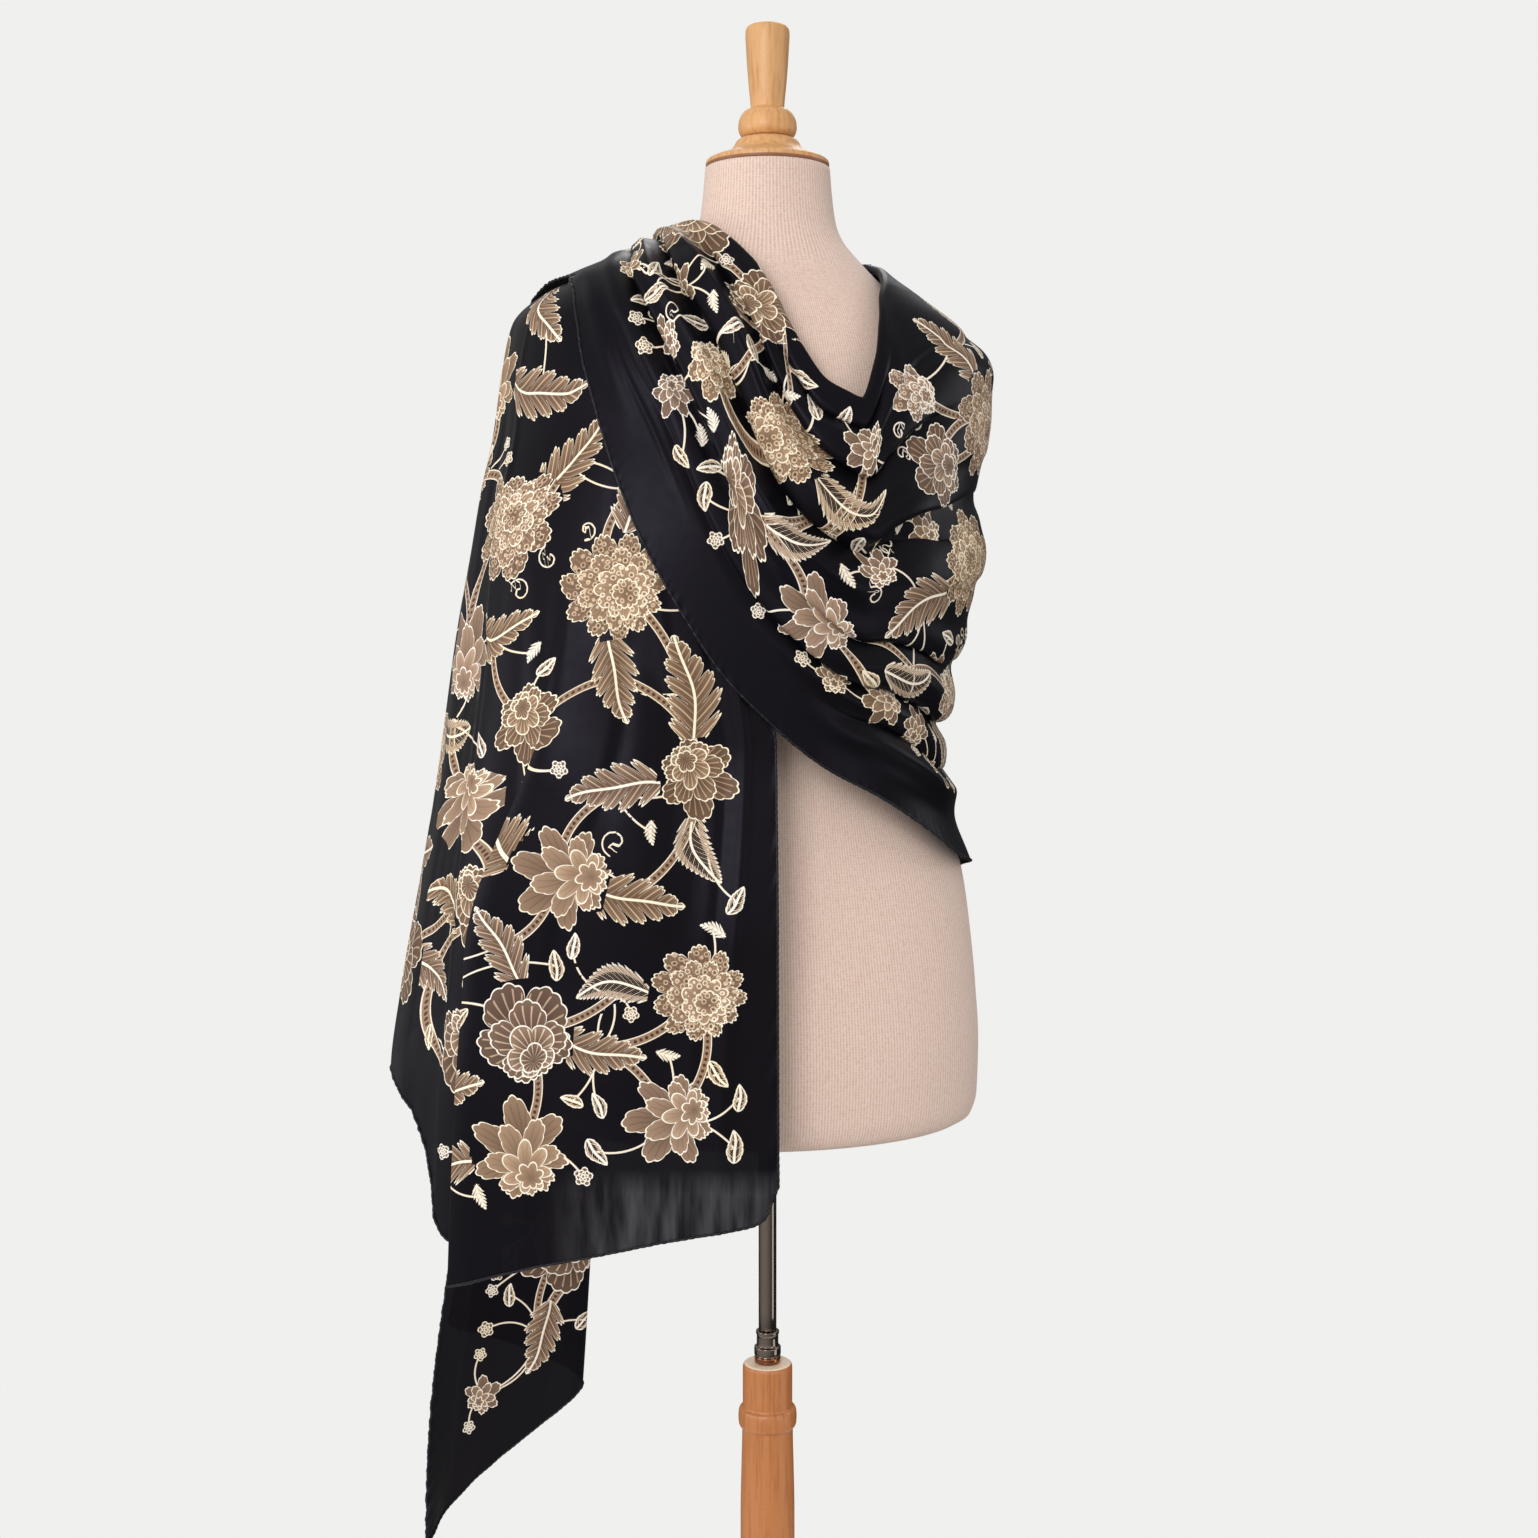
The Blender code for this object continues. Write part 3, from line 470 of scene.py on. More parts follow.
# Columns of the two hanging ends, from one long edge to the other: the share of the turn at the
# shoulder, the share where the cloth hangs pleated, how far that pleat stands out, the height
# at which it starts and the height of the hem
FRONT_END = [
    (0, 0, 17, 1000, 676), (0.03, 0.055, 18, 1000, 650), (0.13, 0.2, 20, 1000, 642),
    (0.24, 0.35, 18, 1000, 635), (0.36, 0.5, 20, 1060, 625), (0.46, 0.63, 19, 1100, 612),
    (0.52, 0.705, 19.5, 1120, 600), (0.545, 0.732, 17, 1130, 595), (0.57, 0.708, 14, 1130, 598),
    (0.6, 0.68, 11, 1140, 603), (0.63, 0.662, 8, 1150, 608), (0.655, 0.674, 5, 1160, 613),
    (0.7, 0.735, 3.5, 1180, 622), (0.73, 0.772, 1, 1180, 638), (0.755, 0.785, -2.5, 1180, 662),
    (0.79, 0.81, -5, 1180, 694), (0.88, 0.88, -3, 1100, 727), (1, 1, 0, 1100, 742),
]
BACK_END = [
    (0, 0, 0, 1290, 292), (0.08, 0.25, 0, 1290, 318), (0.16, 0.55, 0, 1290, 350), (0.25, 0.84, 0, 1290, 383),
    (0.3, 0.95, 1, 1290, 398), (0.33, 0.975, 3.5, 1290, 404), (0.36, 0.94, 6, 1290, 412),
    (0.43, 0.74, 7.5, 1290, 432), (0.5, 0.48, 8.5, 1290, 455), (0.545, 0.33, 10, 1290, 466),
    (0.57, 0.3, 12.5, 1290, 472), (0.6, 0.34, 15, 1290, 478), (0.67, 0.59, 16.5, 1290, 500),
    (0.75, 0.85, 17, 1290, 522), (0.79, 0.905, 20, 1290, 530), (0.83, 0.875, 23.5, 1290, 539),
    (0.91, 0.64, 26, 1290, 560), (1, 0.44, 29, 1290, 582),
]
FRONT_PLEATS_SETTLE = 300 * MM
BACK_PLEATS_SETTLE = 560 * MM
NECKLINE_TURN_IN = 20 * MM
NARROW_TURN_IN = 6 * MM
NECKLINE_RADIUS = 3.5 * MM
CHEST_STARTS = 0.30
CHEST_ENDS = 0.68
CHEST_FADE = 0.15
GATHER_BUNCH = 5 * MM
GATHER_REACH = 0.25
SHOULDER_BOW = 1.1
SHOULDER_ROWS_BOW = 1.5
LOWER_EDGE_BOW = 1.2
FOLD_FADE = 0.22
VALLEY_STEEPNESS = 1.5
# A valley of the full depth is tucked under: its lip slides over it by a share of its width
TUCK_FULL = 9.5 * MM
TUCK_SLIDE = 1.0
TUCK_WIDTH = 0.80
TUCK_LIP = 3.5 * MM
# The wrap's valleys stay clear of the front end, and past it of the form
CLEAR_OF_END = 6.8 * MM
CLEAR_OF_FORM = 3.0 * MM
END_LIES_UNDER = 0.55
END_FADE = 0.1
CREASES_START = 0.06
CREASES_RISE = 0.30
GATHER_FLATNESS = 0.2
GATHER_PRESS = 0.18
FOLDS_CARRY_ON = 0.35
FINE_STEPS = 4000
TAIL_HANGS_BELOW = 1200 * MM
TAIL_GATHER = 0.08
TAIL_LOOSENS = 0.35

# Creases too fine for the folds above, in the same terms. They start and stop at uneven places
WRAP_CREASES = [Fold(*row) for row in [
    (0.22, 0.17, -0.3, 0.42, 1.6, 0.016), (0.29, 0.22, -0.3, 0.62, -2.4, 0.014),
    (0.4, 0.31, -0.3, 0.48, -2, 0.013), (0.44, 0.33, 0.05, 0.72, 1.8, 0.018),
    (0.545, 0.42, -0.3, 0.7, -3, 0.015), (0.64, 0.52, -0.1, 0.6, 1.7, 0.014),
    (0.665, 0.54, -0.3, 0.88, -2.4, 0.014), (0.77, 0.645, -0.3, 0.82, -2.8, 0.015),
    (0.86, 0.75, -0.3, 0.7, -2, 0.013), (0.9, 0.8, 0.02, 0.58, 1.6, 0.015),
    (0.955, 0.88, -0.1, 0.66, -1.8, 0.012), (0.82, 0.86, 0.52, 1.2, -2, 0.013),
    (0.68, 0.66, 0.62, 1.3, -1.8, 0.013), (0.56, 0.555, 0.55, 1.4, 1.6, 0.014),
    (0.46, 0.455, 0.66, 1.4, -2.2, 0.012), (0.395, 0.38, 0.72, 1.4, 2, 0.011),
    (0.33, 0.31, 0.7, 1.4, -1.8, 0.01), (0.255, 0.26, 0.74, 1.4, 1.5, 0.009),
    (0.2, 0.215, 0.78, 1.4, -1.8, 0.009), (0.14, 0.145, 0.8, 1.4, 1.4, 0.009),
    (0.6, 0.34, 0, 0.36, -1.5, 0.01), (0.36, 0.3, 0.1, 0.38, 1.3, 0.011),
]]
BACK_CREASES = [Fold(*row) for row in [
    (0.6, 0.84, 0.1, 0.86, -2.2, 0.014), (0.51, 0.77, 0.2, 1.02, 1.7, 0.016),
    (0.42, 0.67, 0.05, 0.74, -1.8, 0.013), (0.33, 0.585, 0.25, 0.98, -2.4, 0.015),
    (0.24, 0.49, 0.1, 0.8, 1.6, 0.014), (0.15, 0.37, 0.2, 0.95, -2, 0.014),
    (0.09, 0.26, 0.15, 0.7, -1.6, 0.012), (0.74, 0.93, 0.3, 0.9, 1.5, 0.014),
    (0.8, 0.96, 0.05, 0.66, -1.5, 0.012), (0.05, 0.2, 0.35, 0.98, 1.4, 0.014),
]]
# On the ends the creases run down, from one place across the end to another
FRONT_END_CREASES = [Fold(*row) for row in [
    (0.08, 0.12, 0.3, 1.1, 1.5, 0.016), (0.21, 0.17, 0.45, 1.3, -1.6, 0.018),
    (0.33, 0.3, 0.1, 0.84, 1.4, 0.017), (0.41, 0.44, 0.35, 1.3, -1.8, 0.014),
    (0.82, 0.84, 0.25, 1.3, -2.4, 0.022), (0.9, 0.89, 0.1, 0.8, 2.2, 0.024),
    (0.95, 0.96, 0.4, 1.3, 1.8, 0.018), (0.74, 0.77, 0.15, 0.9, 1.2, 0.012),
]]
BACK_END_CREASES = [Fold(*row) for row in [
    (0.06, 0.07, 0.3, 1.3, 1.8, 0.02), (0.14, 0.12, 0.2, 0.9, -1.8, 0.016),
    (0.21, 0.22, 0.35, 1.3, 1.7, 0.018), (0.45, 0.44, 0.25, 1.1, 1.2, 0.012),
    (0.7, 0.71, 0.3, 1.3, -1.4, 0.012), (0.93, 0.92, 0.2, 1, 1.6, 0.018),
    (0.97, 0.96, 0.45, 1.3, -1.6, 0.014),
]]
# A hand-rolled hem draws the edge into small puckers
PUCKER_HEIGHT = 0.7 * MM
PUCKER_LENGTH = 9.0 * MM
PUCKER_REACH = 0.012
# Columns, and rows, are about this far apart
GRID_STEP = 2.4 * MM

# One grid covers the shawl: rows across its width from the lower edge, and columns along its length
ROWS = 241
TURNED_ROWS = 18
ROLLED_ROWS = 10
FRONT_END_COLUMNS = 196
BACK_COLUMNS = 251
WRAP_COLUMNS = 261
BACK_END_COLUMNS = 391
SEAM_BLEND = 0.08


def smooth(share):
    """Rises from 0 to 1 with level ends: 3 s^2 - 2 s^3."""
    share = np.clip(share, 0.0, 1.0)
    return share * share * (3 - 2 * share)


def unit(vectors):
    """The vectors, each drawn out to length 1."""
    return vectors / np.linalg.norm(vectors, axis=-1, keepdims=True)


def square_to(along, vectors):
    """The part of each vector square to a unit vector, drawn out to length 1."""
    return unit(vectors - along * (vectors * along).sum(axis=-1, keepdims=True))


def lay_point(azimuth, height):
    """A point of the surface that the cloth lies on. At each height it is an oval of four quarters:
    (|cos a| / width)^p + (|sin a| / depth)^p = 1, with the widths and the power p from LAY."""
    heights, *fields = np.array(LAY, float).T
    turn, right, left, front, back, power = (flow(height / MM, heights, field) for field in fields)
    angle = np.radians(azimuth - turn)
    across, along = np.cos(angle), np.sin(angle)
    half_width = np.where(across >= 0, right, left) * MM
    half_depth = np.where(along >= 0, back, front) * MM
    power = np.where(across >= 0, RIGHT_SQUARENESS, power)
    radius = (np.abs(across / half_width) ** power + np.abs(along / half_depth) ** power) ** (-1 / power)
    turned_to = np.radians(azimuth)
    return np.stack([radius * np.cos(turned_to), radius * np.sin(turned_to), height + 0 * radius], axis=-1)


def off_lay(azimuth, height, lift):
    """Points that stand off the lay surface by lift, square to it."""
    small_angle, small_rise = 1.0, 1.5 * MM
    around = lay_point(azimuth + small_angle, height) - lay_point(azimuth - small_angle, height)
    upward = lay_point(azimuth, height + small_rise) - lay_point(azimuth, height - small_rise)
    return lay_point(azimuth, height) + unit(np.cross(around, upward)) * lift[..., None]


def along_rail(rail, share):
    """Azimuth, height and lift of an edge at each share of its length."""
    shares, *fields = np.array(rail, float).T
    azimuth, height, lift = (flow(share, shares, field) for field in fields)
    return azimuth, height * MM, lift * MM


def off_fold(fold, place, share):
    """How far a place lies above a fold's line, in the fold's widths, and how strong the fold is
    there. It fades at both of its ends and lies flatter at the gathers."""
    line = fold.from_place + (fold.to_place - fold.from_place) * smooth(share)
    fade = smooth((share - fold.start) / FOLD_FADE) * smooth((fold.stop - share) / FOLD_FADE)
    fade = fade * (GATHER_FLATNESS + (1 - GATHER_FLATNESS) * smooth(share / GATHER_PRESS))
    return (place - line) / fold.width, fade * fold.rise * MM


def relief(folds, place, share):
    """Sum of the soft folds. Each is a bell across the width, rise exp(-u^2). A valley is steeper
    on its upper side, where the cloth above hangs over it."""
    total = 0.0 * place * share
    for fold in folds:
        u, rise = off_fold(fold, place, share)
        steeper = VALLEY_STEEPNESS if fold.rise < 0 else 1.0
        total = total + rise * np.exp(-((np.where(u > 0, steeper, 1 / steeper) * u) ** 2))
    return total


def tucked(place, share):
    """How the cloth above each valley of the wrap laps over it: how far it slides across, and how
    far its lip stands out. Both follow lap = v exp(1/2 - v^2) sqrt(2), with v = u / TUCK_WIDTH, which
    is 1 just above the valley's line and -1 just below it."""
    slide = lip = 0.0 * place * share
    for fold in WRAP_FOLDS:
        if fold.rise < 0:
            u, rise = off_fold(fold, place, share)
            strength = -rise / TUCK_FULL
            lap = math.sqrt(2 * math.e) * u / TUCK_WIDTH * np.exp(-((u / TUCK_WIDTH) ** 2))
            slide = slide - TUCK_SLIDE * fold.width * strength * lap
            lip = lip + TUCK_LIP * strength * lap
    return np.clip(place + slide, 0, 1), lip


def puckers(from_edge, share, columns):
    """Ripples that die out away from an edge: height sin(2 pi n share) exp(-from_edge / reach), with
    a second, slower wave so that they are uneven."""
    turn = 2 * math.pi * columns * GRID_STEP / PUCKER_LENGTH * share
    wave = np.sin(turn + 1.3 * np.sin(0.31 * turn)) * (0.7 + 0.3 * np.sin(0.17 * turn))
    return PUCKER_HEIGHT * wave * np.exp(-from_edge / PUCKER_REACH)


def between_rails(lower, upper, place, share, bow):
    """Azimuth, height and lift between two edges: low + (high - low) (1 - (1 - place)^bow)."""
    low, high = along_rail(lower, share), along_rail(upper, share)
    rise = 1 - (1 - place) ** bow
    return [a + (b - a) * rise for a, b in zip(low, high)]


def rolled_under(body, azimuth, height, lift, share):
    """Rows past the wrap's neck edge: half a turn of radius r, then a flat turn-in beneath."""
    edge = body[-1]
    inside = square_to(unit(np.gradient(edge, axis=0)), body[-6] - edge)
    below = off_lay(azimuth, height, lift - 2 * NECKLINE_RADIUS)
    inward = unit(below - edge)
    turn = np.linspace(0, math.pi, ROLLED_ROWS + 1)[1:, None, None]
    rolled = edge + NECKLINE_RADIUS * (inward * (1 - np.cos(turn)) - inside * np.sin(turn))
    chest = smooth(share / CHEST_STARTS) * smooth((CHEST_ENDS - share) / CHEST_FADE)
    depth = NARROW_TURN_IN + (NECKLINE_TURN_IN - NARROW_TURN_IN) * chest
    steps = np.linspace(0, 1, TURNED_ROWS - ROLLED_ROWS + 1)[1:, None, None]
    return np.concatenate([rolled, below + inside * depth[:, None] * steps])


def wrap_rows(place):
    """From the left shoulder across the chest to the right side, with its turned-in neck edge."""
    share = np.linspace(0, 1, WRAP_COLUMNS)[None, :]
    bow = 1 + (SHOULDER_BOW - 1) * smooth(share)
    moved, lip = tucked(place, share)
    azimuth, height, lift = between_rails(WRAP_HEM, WRAP_NECKLINE, moved, share, bow)
    bunch = lip + GATHER_BUNCH * np.sin(math.pi * place) * smooth(1 - share / GATHER_REACH)
    creases = relief(WRAP_CREASES, place, share) * smooth((share - CREASES_START) / CREASES_RISE)
    past_end = smooth((share - END_LIES_UNDER) / END_FADE)
    clear = CLEAR_OF_END + (CLEAR_OF_FORM - CLEAR_OF_END) * past_end
    lift = np.maximum(lift + bunch + relief(WRAP_FOLDS, place, share) + creases, clear)
    body = off_lay(azimuth, height, lift + puckers(place, share, WRAP_COLUMNS))
    return body, rolled_under(body, azimuth[-1], height[-1], lift[-1], share[0])


def back_rows(place):
    """From the right side across the back to the left side."""
    share = np.linspace(0, 1, BACK_COLUMNS)[None, :]
    azimuth, height, lift = between_rails(BACK_HEM, BACK_NECK_EDGE, place, share, SHOULDER_BOW)
    from_wrap = relief(WRAP_FOLDS, place, np.ones_like(share)) * smooth(1 - share / FOLDS_CARRY_ON)
    finer = relief(WRAP_CREASES, place, np.ones_like(share)) * smooth(1 - share / FOLDS_CARRY_ON)
    finer = finer + relief(BACK_CREASES, place, share) + puckers(place, share, BACK_COLUMNS)
    return off_lay(azimuth, height, lift + from_wrap + relief(BACK_FOLDS, place, share) + finer)


def pleating(height, start, settle):
    """How far pleats have closed and how far they stand out, from 0 at their start to 1."""
    below = (start - height) / settle
    return smooth(below), smooth(2 * below)


def columns_of(table, at):
    """Every field of a pleat table, drawn smoothly through its rows at the places given."""
    return [flow(at, np.arange(len(table), dtype=float), field) for field in np.array(table, float).T]


def front_end_rows(place):
    """The end that hangs in front on the viewer's left, in pleats that lie over each other."""
    at = np.linspace(0, len(FRONT_END) - 1, FRONT_END_COLUMNS)[None, :]
    share, pleated, stand, start, hem = columns_of(FRONT_END, at)
    down = (1 - place) ** (SHOULDER_BOW / SHOULDER_ROWS_BOW)
    lift = along_rail(END_INNER_EDGE, down)[2]
    outer_azimuth, outer_top, _ = along_rail(BACK_NECK_EDGE, np.ones_like(down))
    height = outer_top + (hem * MM - outer_top) * down**SHOULDER_ROWS_BOW
    closed, stood = pleating(height, start * MM, FRONT_PLEATS_SETTLE)
    edge_azimuth, edge_height, _ = along_rail(END_INNER_EDGE, np.linspace(0, 1, ROWS))
    inner_azimuth = flow(height, edge_height, edge_azimuth)
    across = share + (pleated - share) * closed
    azimuth = inner_azimuth + (outer_azimuth - 360 - inner_azimuth) * across
    finer = relief(FRONT_END_CREASES, share, down) + puckers(place, share, FRONT_END_COLUMNS)
    finer = finer + puckers(share, place, ROWS / 3)
    return off_lay(azimuth, height, lift + stand * MM * stood + finer)


def back_end_rows(place):
    """The end that is gathered on the left shoulder and falls behind, folded to and fro."""
    fine = np.linspace(0, len(BACK_END) - 1, FINE_STEPS)
    at = np.interp(place, columns_of(BACK_END, fine)[0], fine)
    share, pleated, stand, start, hem = columns_of(BACK_END, at)
    down = np.linspace(0, 1, BACK_END_COLUMNS)[None, :]
    outer, inner = along_rail(TAIL_OUTER_EDGE, down), along_rail(TAIL_INNER_EDGE, down)
    fresh = 1 - smooth((down - TAIL_GATHER) / TAIL_LOOSENS)
    height = outer[1] + (inner[1] - outer[1]) * share
    below = height - TAIL_HANGS_BELOW
    drop = (hem * MM - TAIL_HANGS_BELOW) / below[:, -1:]
    height = TAIL_HANGS_BELOW + np.where(below < 0, below * drop, below)
    closed, stood = pleating(height, start * MM, BACK_PLEATS_SETTLE)
    across = share + (pleated - share) * closed
    azimuth = outer[0] + (inner[0] - outer[0]) * across
    lift = outer[2] + (inner[2] - outer[2]) * across
    bunch = GATHER_BUNCH * np.sin(math.pi * share) * fresh
    gathers = relief(WRAP_FOLDS, share, np.zeros_like(down)) * fresh
    finer = relief(BACK_END_CREASES, share, down)
    finer = finer + puckers(place, down, BACK_END_COLUMNS) + puckers(1 - down, place, ROWS / 3)
    return off_lay(azimuth, height, lift + bunch + gathers + stand * MM * stood + finer)


def met_at(points, start, target):
    """Moves the columns beside a seam, fading inwards, so that the seam's column is the target."""
    share = np.linspace(0, 1, points.shape[1])[None, :, None]
    near = smooth(1 - (share if start else 1 - share) / SEAM_BLEND)
    edge = points[:, :1] if start else points[:, -1:]
    return points + (target[:, None] - edge) * near


def whole_shawl():
    """The shawl's points, rows by columns: front end, back, wrap and back end, each sharing its
    seam's column with the next. The rows past ROWS are the wrap's turn-in."""
    place = np.linspace(0, 1, ROWS)[:, None] ** LOWER_EDGE_BOW
    wrap, turn_in = wrap_rows(place)
    wrap, turn_in = wrap[:, ::-1], turn_in[:, ::-1]
    back = met_at(back_rows(place)[:, ::-1], False, wrap[:, 0])
    front = met_at(front_end_rows(place), False, back[:, 0])
    tail = met_at(back_end_rows(place), True, wrap[:, -1])
    body = np.concatenate([front[:, :-1], back[:, :-1], wrap, tail[:, 1:]], axis=1)
    under = np.repeat(body[-1:], TURNED_ROWS, axis=0)
    starts = np.cumsum([0, FRONT_END_COLUMNS - 1, BACK_COLUMNS - 1, WRAP_COLUMNS - 1, BACK_END_COLUMNS - 1])
    under[:, starts[2] : starts[3] + 1] = turn_in
    return np.concatenate([body, under]), starts


shawl, seams = whole_shawl()


def shawl_piece(name, first, last, rows, material):
    """One stretch of the shawl, the columns from first to last, as a thin sheet."""
    points = shawl[:rows, first : last + 1]
    index = np.arange(points.shape[0] * points.shape[1]).reshape(points.shape[:2])
    corners = np.stack([index[:-1, :-1], index[1:, :-1], index[1:, 1:], index[:-1, 1:]], axis=-1)
    return add_piece(name, points.reshape(-1, 3), corners.reshape(-1, 4), material)


# The print
# A chintz of round blooms, leaves, buds and stems is printed on the silk in sands and browns. Plain
# bands are left along the edges. Its places are drawn by lot, so no two stretches repeat.

# The plain bands at the lower and neck edges and at the two ends, in millimetres
LOWER_BAND, NECK_BAND, START_BAND, END_BAND = 50, 24, 32, 46
# Near the left shoulder the neck edge is a fold, so the print runs on over it. These are shares of
# the wrap and the back end, the columns that the change takes, and a length past every band
FOLDED_FROM = 0.30
FOLDED_TO = 0.14
FOLD_SOFTNESS = 20
NO_BAND = 400
# Tries at planting a motif, and its sizes. Its petals, or a leaf's lobes as a negative number, and
# its half-width. How deep and pointed its edge is, how far it leans, whether it is finely scaled,
# its tone, the gap that it keeps, and a leaf's bend
Motif = namedtuple("Motif", "name tries smallest largest count width depth point lean fine tone gap bend")
MOTIFS = [Motif(*row) for row in [
    ("round bloom", 60, 43, 50, 9, 1.00, 0.34, 0.60, 0.45, 1.0, 0.62, 6, 0.0),
    ("veined bloom", 130, 37, 43, 5, 1.00, 0.40, 0.50, 1.00, 0.0, 0.95, 5, 0.0),
    ("open peony", 200, 35, 42, 7, 1.00, 0.52, 1.00, 1.00, 0.0, 0.20, 5, 0.0),
    ("round bloom", 400, 36, 42, 11, 1.00, 0.28, 0.60, 0.60, 1.0, 0.50, 5, 0.0),
    ("veined bloom", 900, 31, 37, 6, 1.00, 0.46, 0.60, 0.90, 0.0, 0.85, 4, 0.0),
    ("acanthus leaf", 5200, 34, 46, -5, 0.70, 0.56, 1.00, 0.00, 0.0, 0.85, 2.0, 0.12),
    ("bell bloom", 2200, 24, 31, 6, 1.00, 0.44, 0.80, 1.00, 1.0, 0.30, 3.5, 0.0),
    ("feather leaf", 5200, 28, 36, -12, 0.56, 0.42, 1.00, 0.00, 1.0, 0.10, 2.5, 0.36),
    ("small peony", 3200, 17, 24, 6, 1.00, 0.52, 1.10, 0.80, 0.0, 0.50, 3, 0.0),
    ("bud", 3600, 10, 13, -4, 0.80, 0.10, 1.00, 0.00, 1.0, -0.10, 2.2, 0.10),
    ("sprig", 2600, 9, 12, -6, 0.70, 0.96, 1.00, 0.00, 0.0, -1.20, 2.0, 0.15),
    ("star", 1500, 6.5, 8, 5, 1.00, 0.55, 0.60, 0.00, 0.0, 1.30, 2, 0.0),
]]
Planted = namedtuple("Planted", "motif row column size")
# How far a motif's lines waver, as a share of its size
HAND_WAVER = 0.03
# The windows that motifs, tendrils and stems are worked out in: shares of their sizes, and margins
MOTIF_WINDOW, TENDRIL_WINDOW, STEM_WINDOW = 1.25, 1.6, 0.85
WINDOW_MARGIN, STEM_MARGIN = 8, 20
# A motif this large needs cloth whose chord over the middle of its place is no less than a share
# of the flat length there
LARGE = 20
CHORD_HALF = 0.8
GATHERED_BELOW = 0.84
# Spreads the motifs evenly from rosy to golden sand
GOLDEN_RATIO = 0.618
# The shares of the blooms that are set right beside the lower band, and of the feather leaves that
# are tucked under a bloom. A tucked leaf's middle lies past the bloom by a share of its own size
BESIDE_BAND, FEATHERS_TUCKED = 0.30, 0.5
BAND_GAP = 3
LEAF_MIDDLE = 0.80
# The grid is finer in places, so a throw there counts less often, by its step over this one
WIDEST_STEP = 2.6
# Half-widths of the stems, and how far they reach
THICK_STEM, THIN_STEM, TENDRIL = 3.3, 0.75, 0.6
STEM_REACH, SPRAY_REACH = (70, 165), (0, 62)
SPRAY_HOST = 14
# Farther apart than any stem reaches, and the most columns that a stem may span
FAR_APART = 999
STEM_COLUMNS = 75
# How far round a path its line is worked out, and the widest face beside it
LINE_MARGIN, FACE_REACH = 12, 5
STEM_POINTS, TENDRIL_POINTS = 36, 40
STEM_BOW = (0.18, 0.38)
# Buds and stars stand in threes: the outer two lean out by FAN, on a wider turn, and are smaller
FAN = 0.85
FAN_TURN, FAN_STEP, FAN_SIZE = 1.3, 1.6, 0.9
# Tendrils set off from just inside the blooms' rims
TENDRILS = 520
TENDRIL_START, TENDRIL_SLANT = 0.92, 0.8
TENDRIL_REACH = (12, 19)
TENDRIL_CURL = 7.0
# A tendril keeps clear of motifs and stems once it has run this far from the rim it sets off from
CURL_GAP, STEM_GAP = 1.5, 2
FREE_OF_MOTIF, FREE_OF_STEM = 9, 5
# A leaf tucked under a bloom reaches half of this past the rim of its circle
TUCK_UNDER = 2.4
# Stands for nothing printed here, far outside every motif and far from every stem
OUTSIDE, NO_STEM = -99.0, 99.0

lots = np.random.default_rng(29)
step_along = np.linalg.norm(np.diff(shawl, axis=1), axis=-1) / MM
step_across = np.linalg.norm(np.diff(shawl, axis=0), axis=-1) / MM
along_mm = np.pad(np.cumsum(step_along, axis=1), ((0, 0), (1, 0)))
across_mm = np.pad(np.cumsum(step_across, axis=0), ((1, 0), (0, 0)))
cover = np.full(shawl.shape[:2], OUTSIDE)
owner = np.full(shawl.shape[:2], -1)
planted = []
# What each face of the shawl is printed with: its motif's or stem's places at its four corners, and
# the values that are the same all over the motif
faces_shape = shawl.shape[0] - 1, shawl.shape[1] - 1
face_cover, stem_far = np.full(faces_shape, OUTSIDE), np.full(faces_shape, NO_STEM)
bloom, stem = np.full((*faces_shape, 4, 3), OUTSIDE), np.full((*faces_shape, 4, 3), NO_STEM)
nature, habit, order = np.ones((*faces_shape, 3)), np.ones((*faces_shape, 3)), np.zeros((*faces_shape, 3))


def corners_of(grid):
    """The values at the four corners of every face of a grid, in the order of the faces' points."""
    return np.stack([grid[:-1, :-1], grid[1:, :-1], grid[1:, 1:], grid[:-1, 1:]], axis=2)


def faces_in(rows, columns):
    """The faces among a window's points."""
    return slice(rows.start, rows.stop - 1), slice(columns.start, columns.stop - 1)


def row_at(column, across):
    """The row of a column at a length across the cloth, in millimetres."""
    return np.searchsorted(across_mm[:ROWS, column], across)


def printed_room():
    """How far each point lies inside the plain bands, in millimetres, negative in a band."""
    columns = np.arange(shawl.shape[1])
    fold_starts = seams[2] + FOLDED_FROM * (seams[3] - seams[2])
    fold_ends = seams[3] + FOLDED_TO * (seams[4] - seams[3])
    folded = smooth((columns - fold_starts) / FOLD_SOFTNESS) * smooth((fold_ends - columns) / FOLD_SOFTNESS)
    from_neck = across_mm[ROWS - 1] - across_mm + NO_BAND * folded
    return np.minimum.reduce([
        across_mm - LOWER_BAND, from_neck - NECK_BAND,
        along_mm - START_BAND, along_mm[:, -1:] - along_mm - END_BAND,
    ])


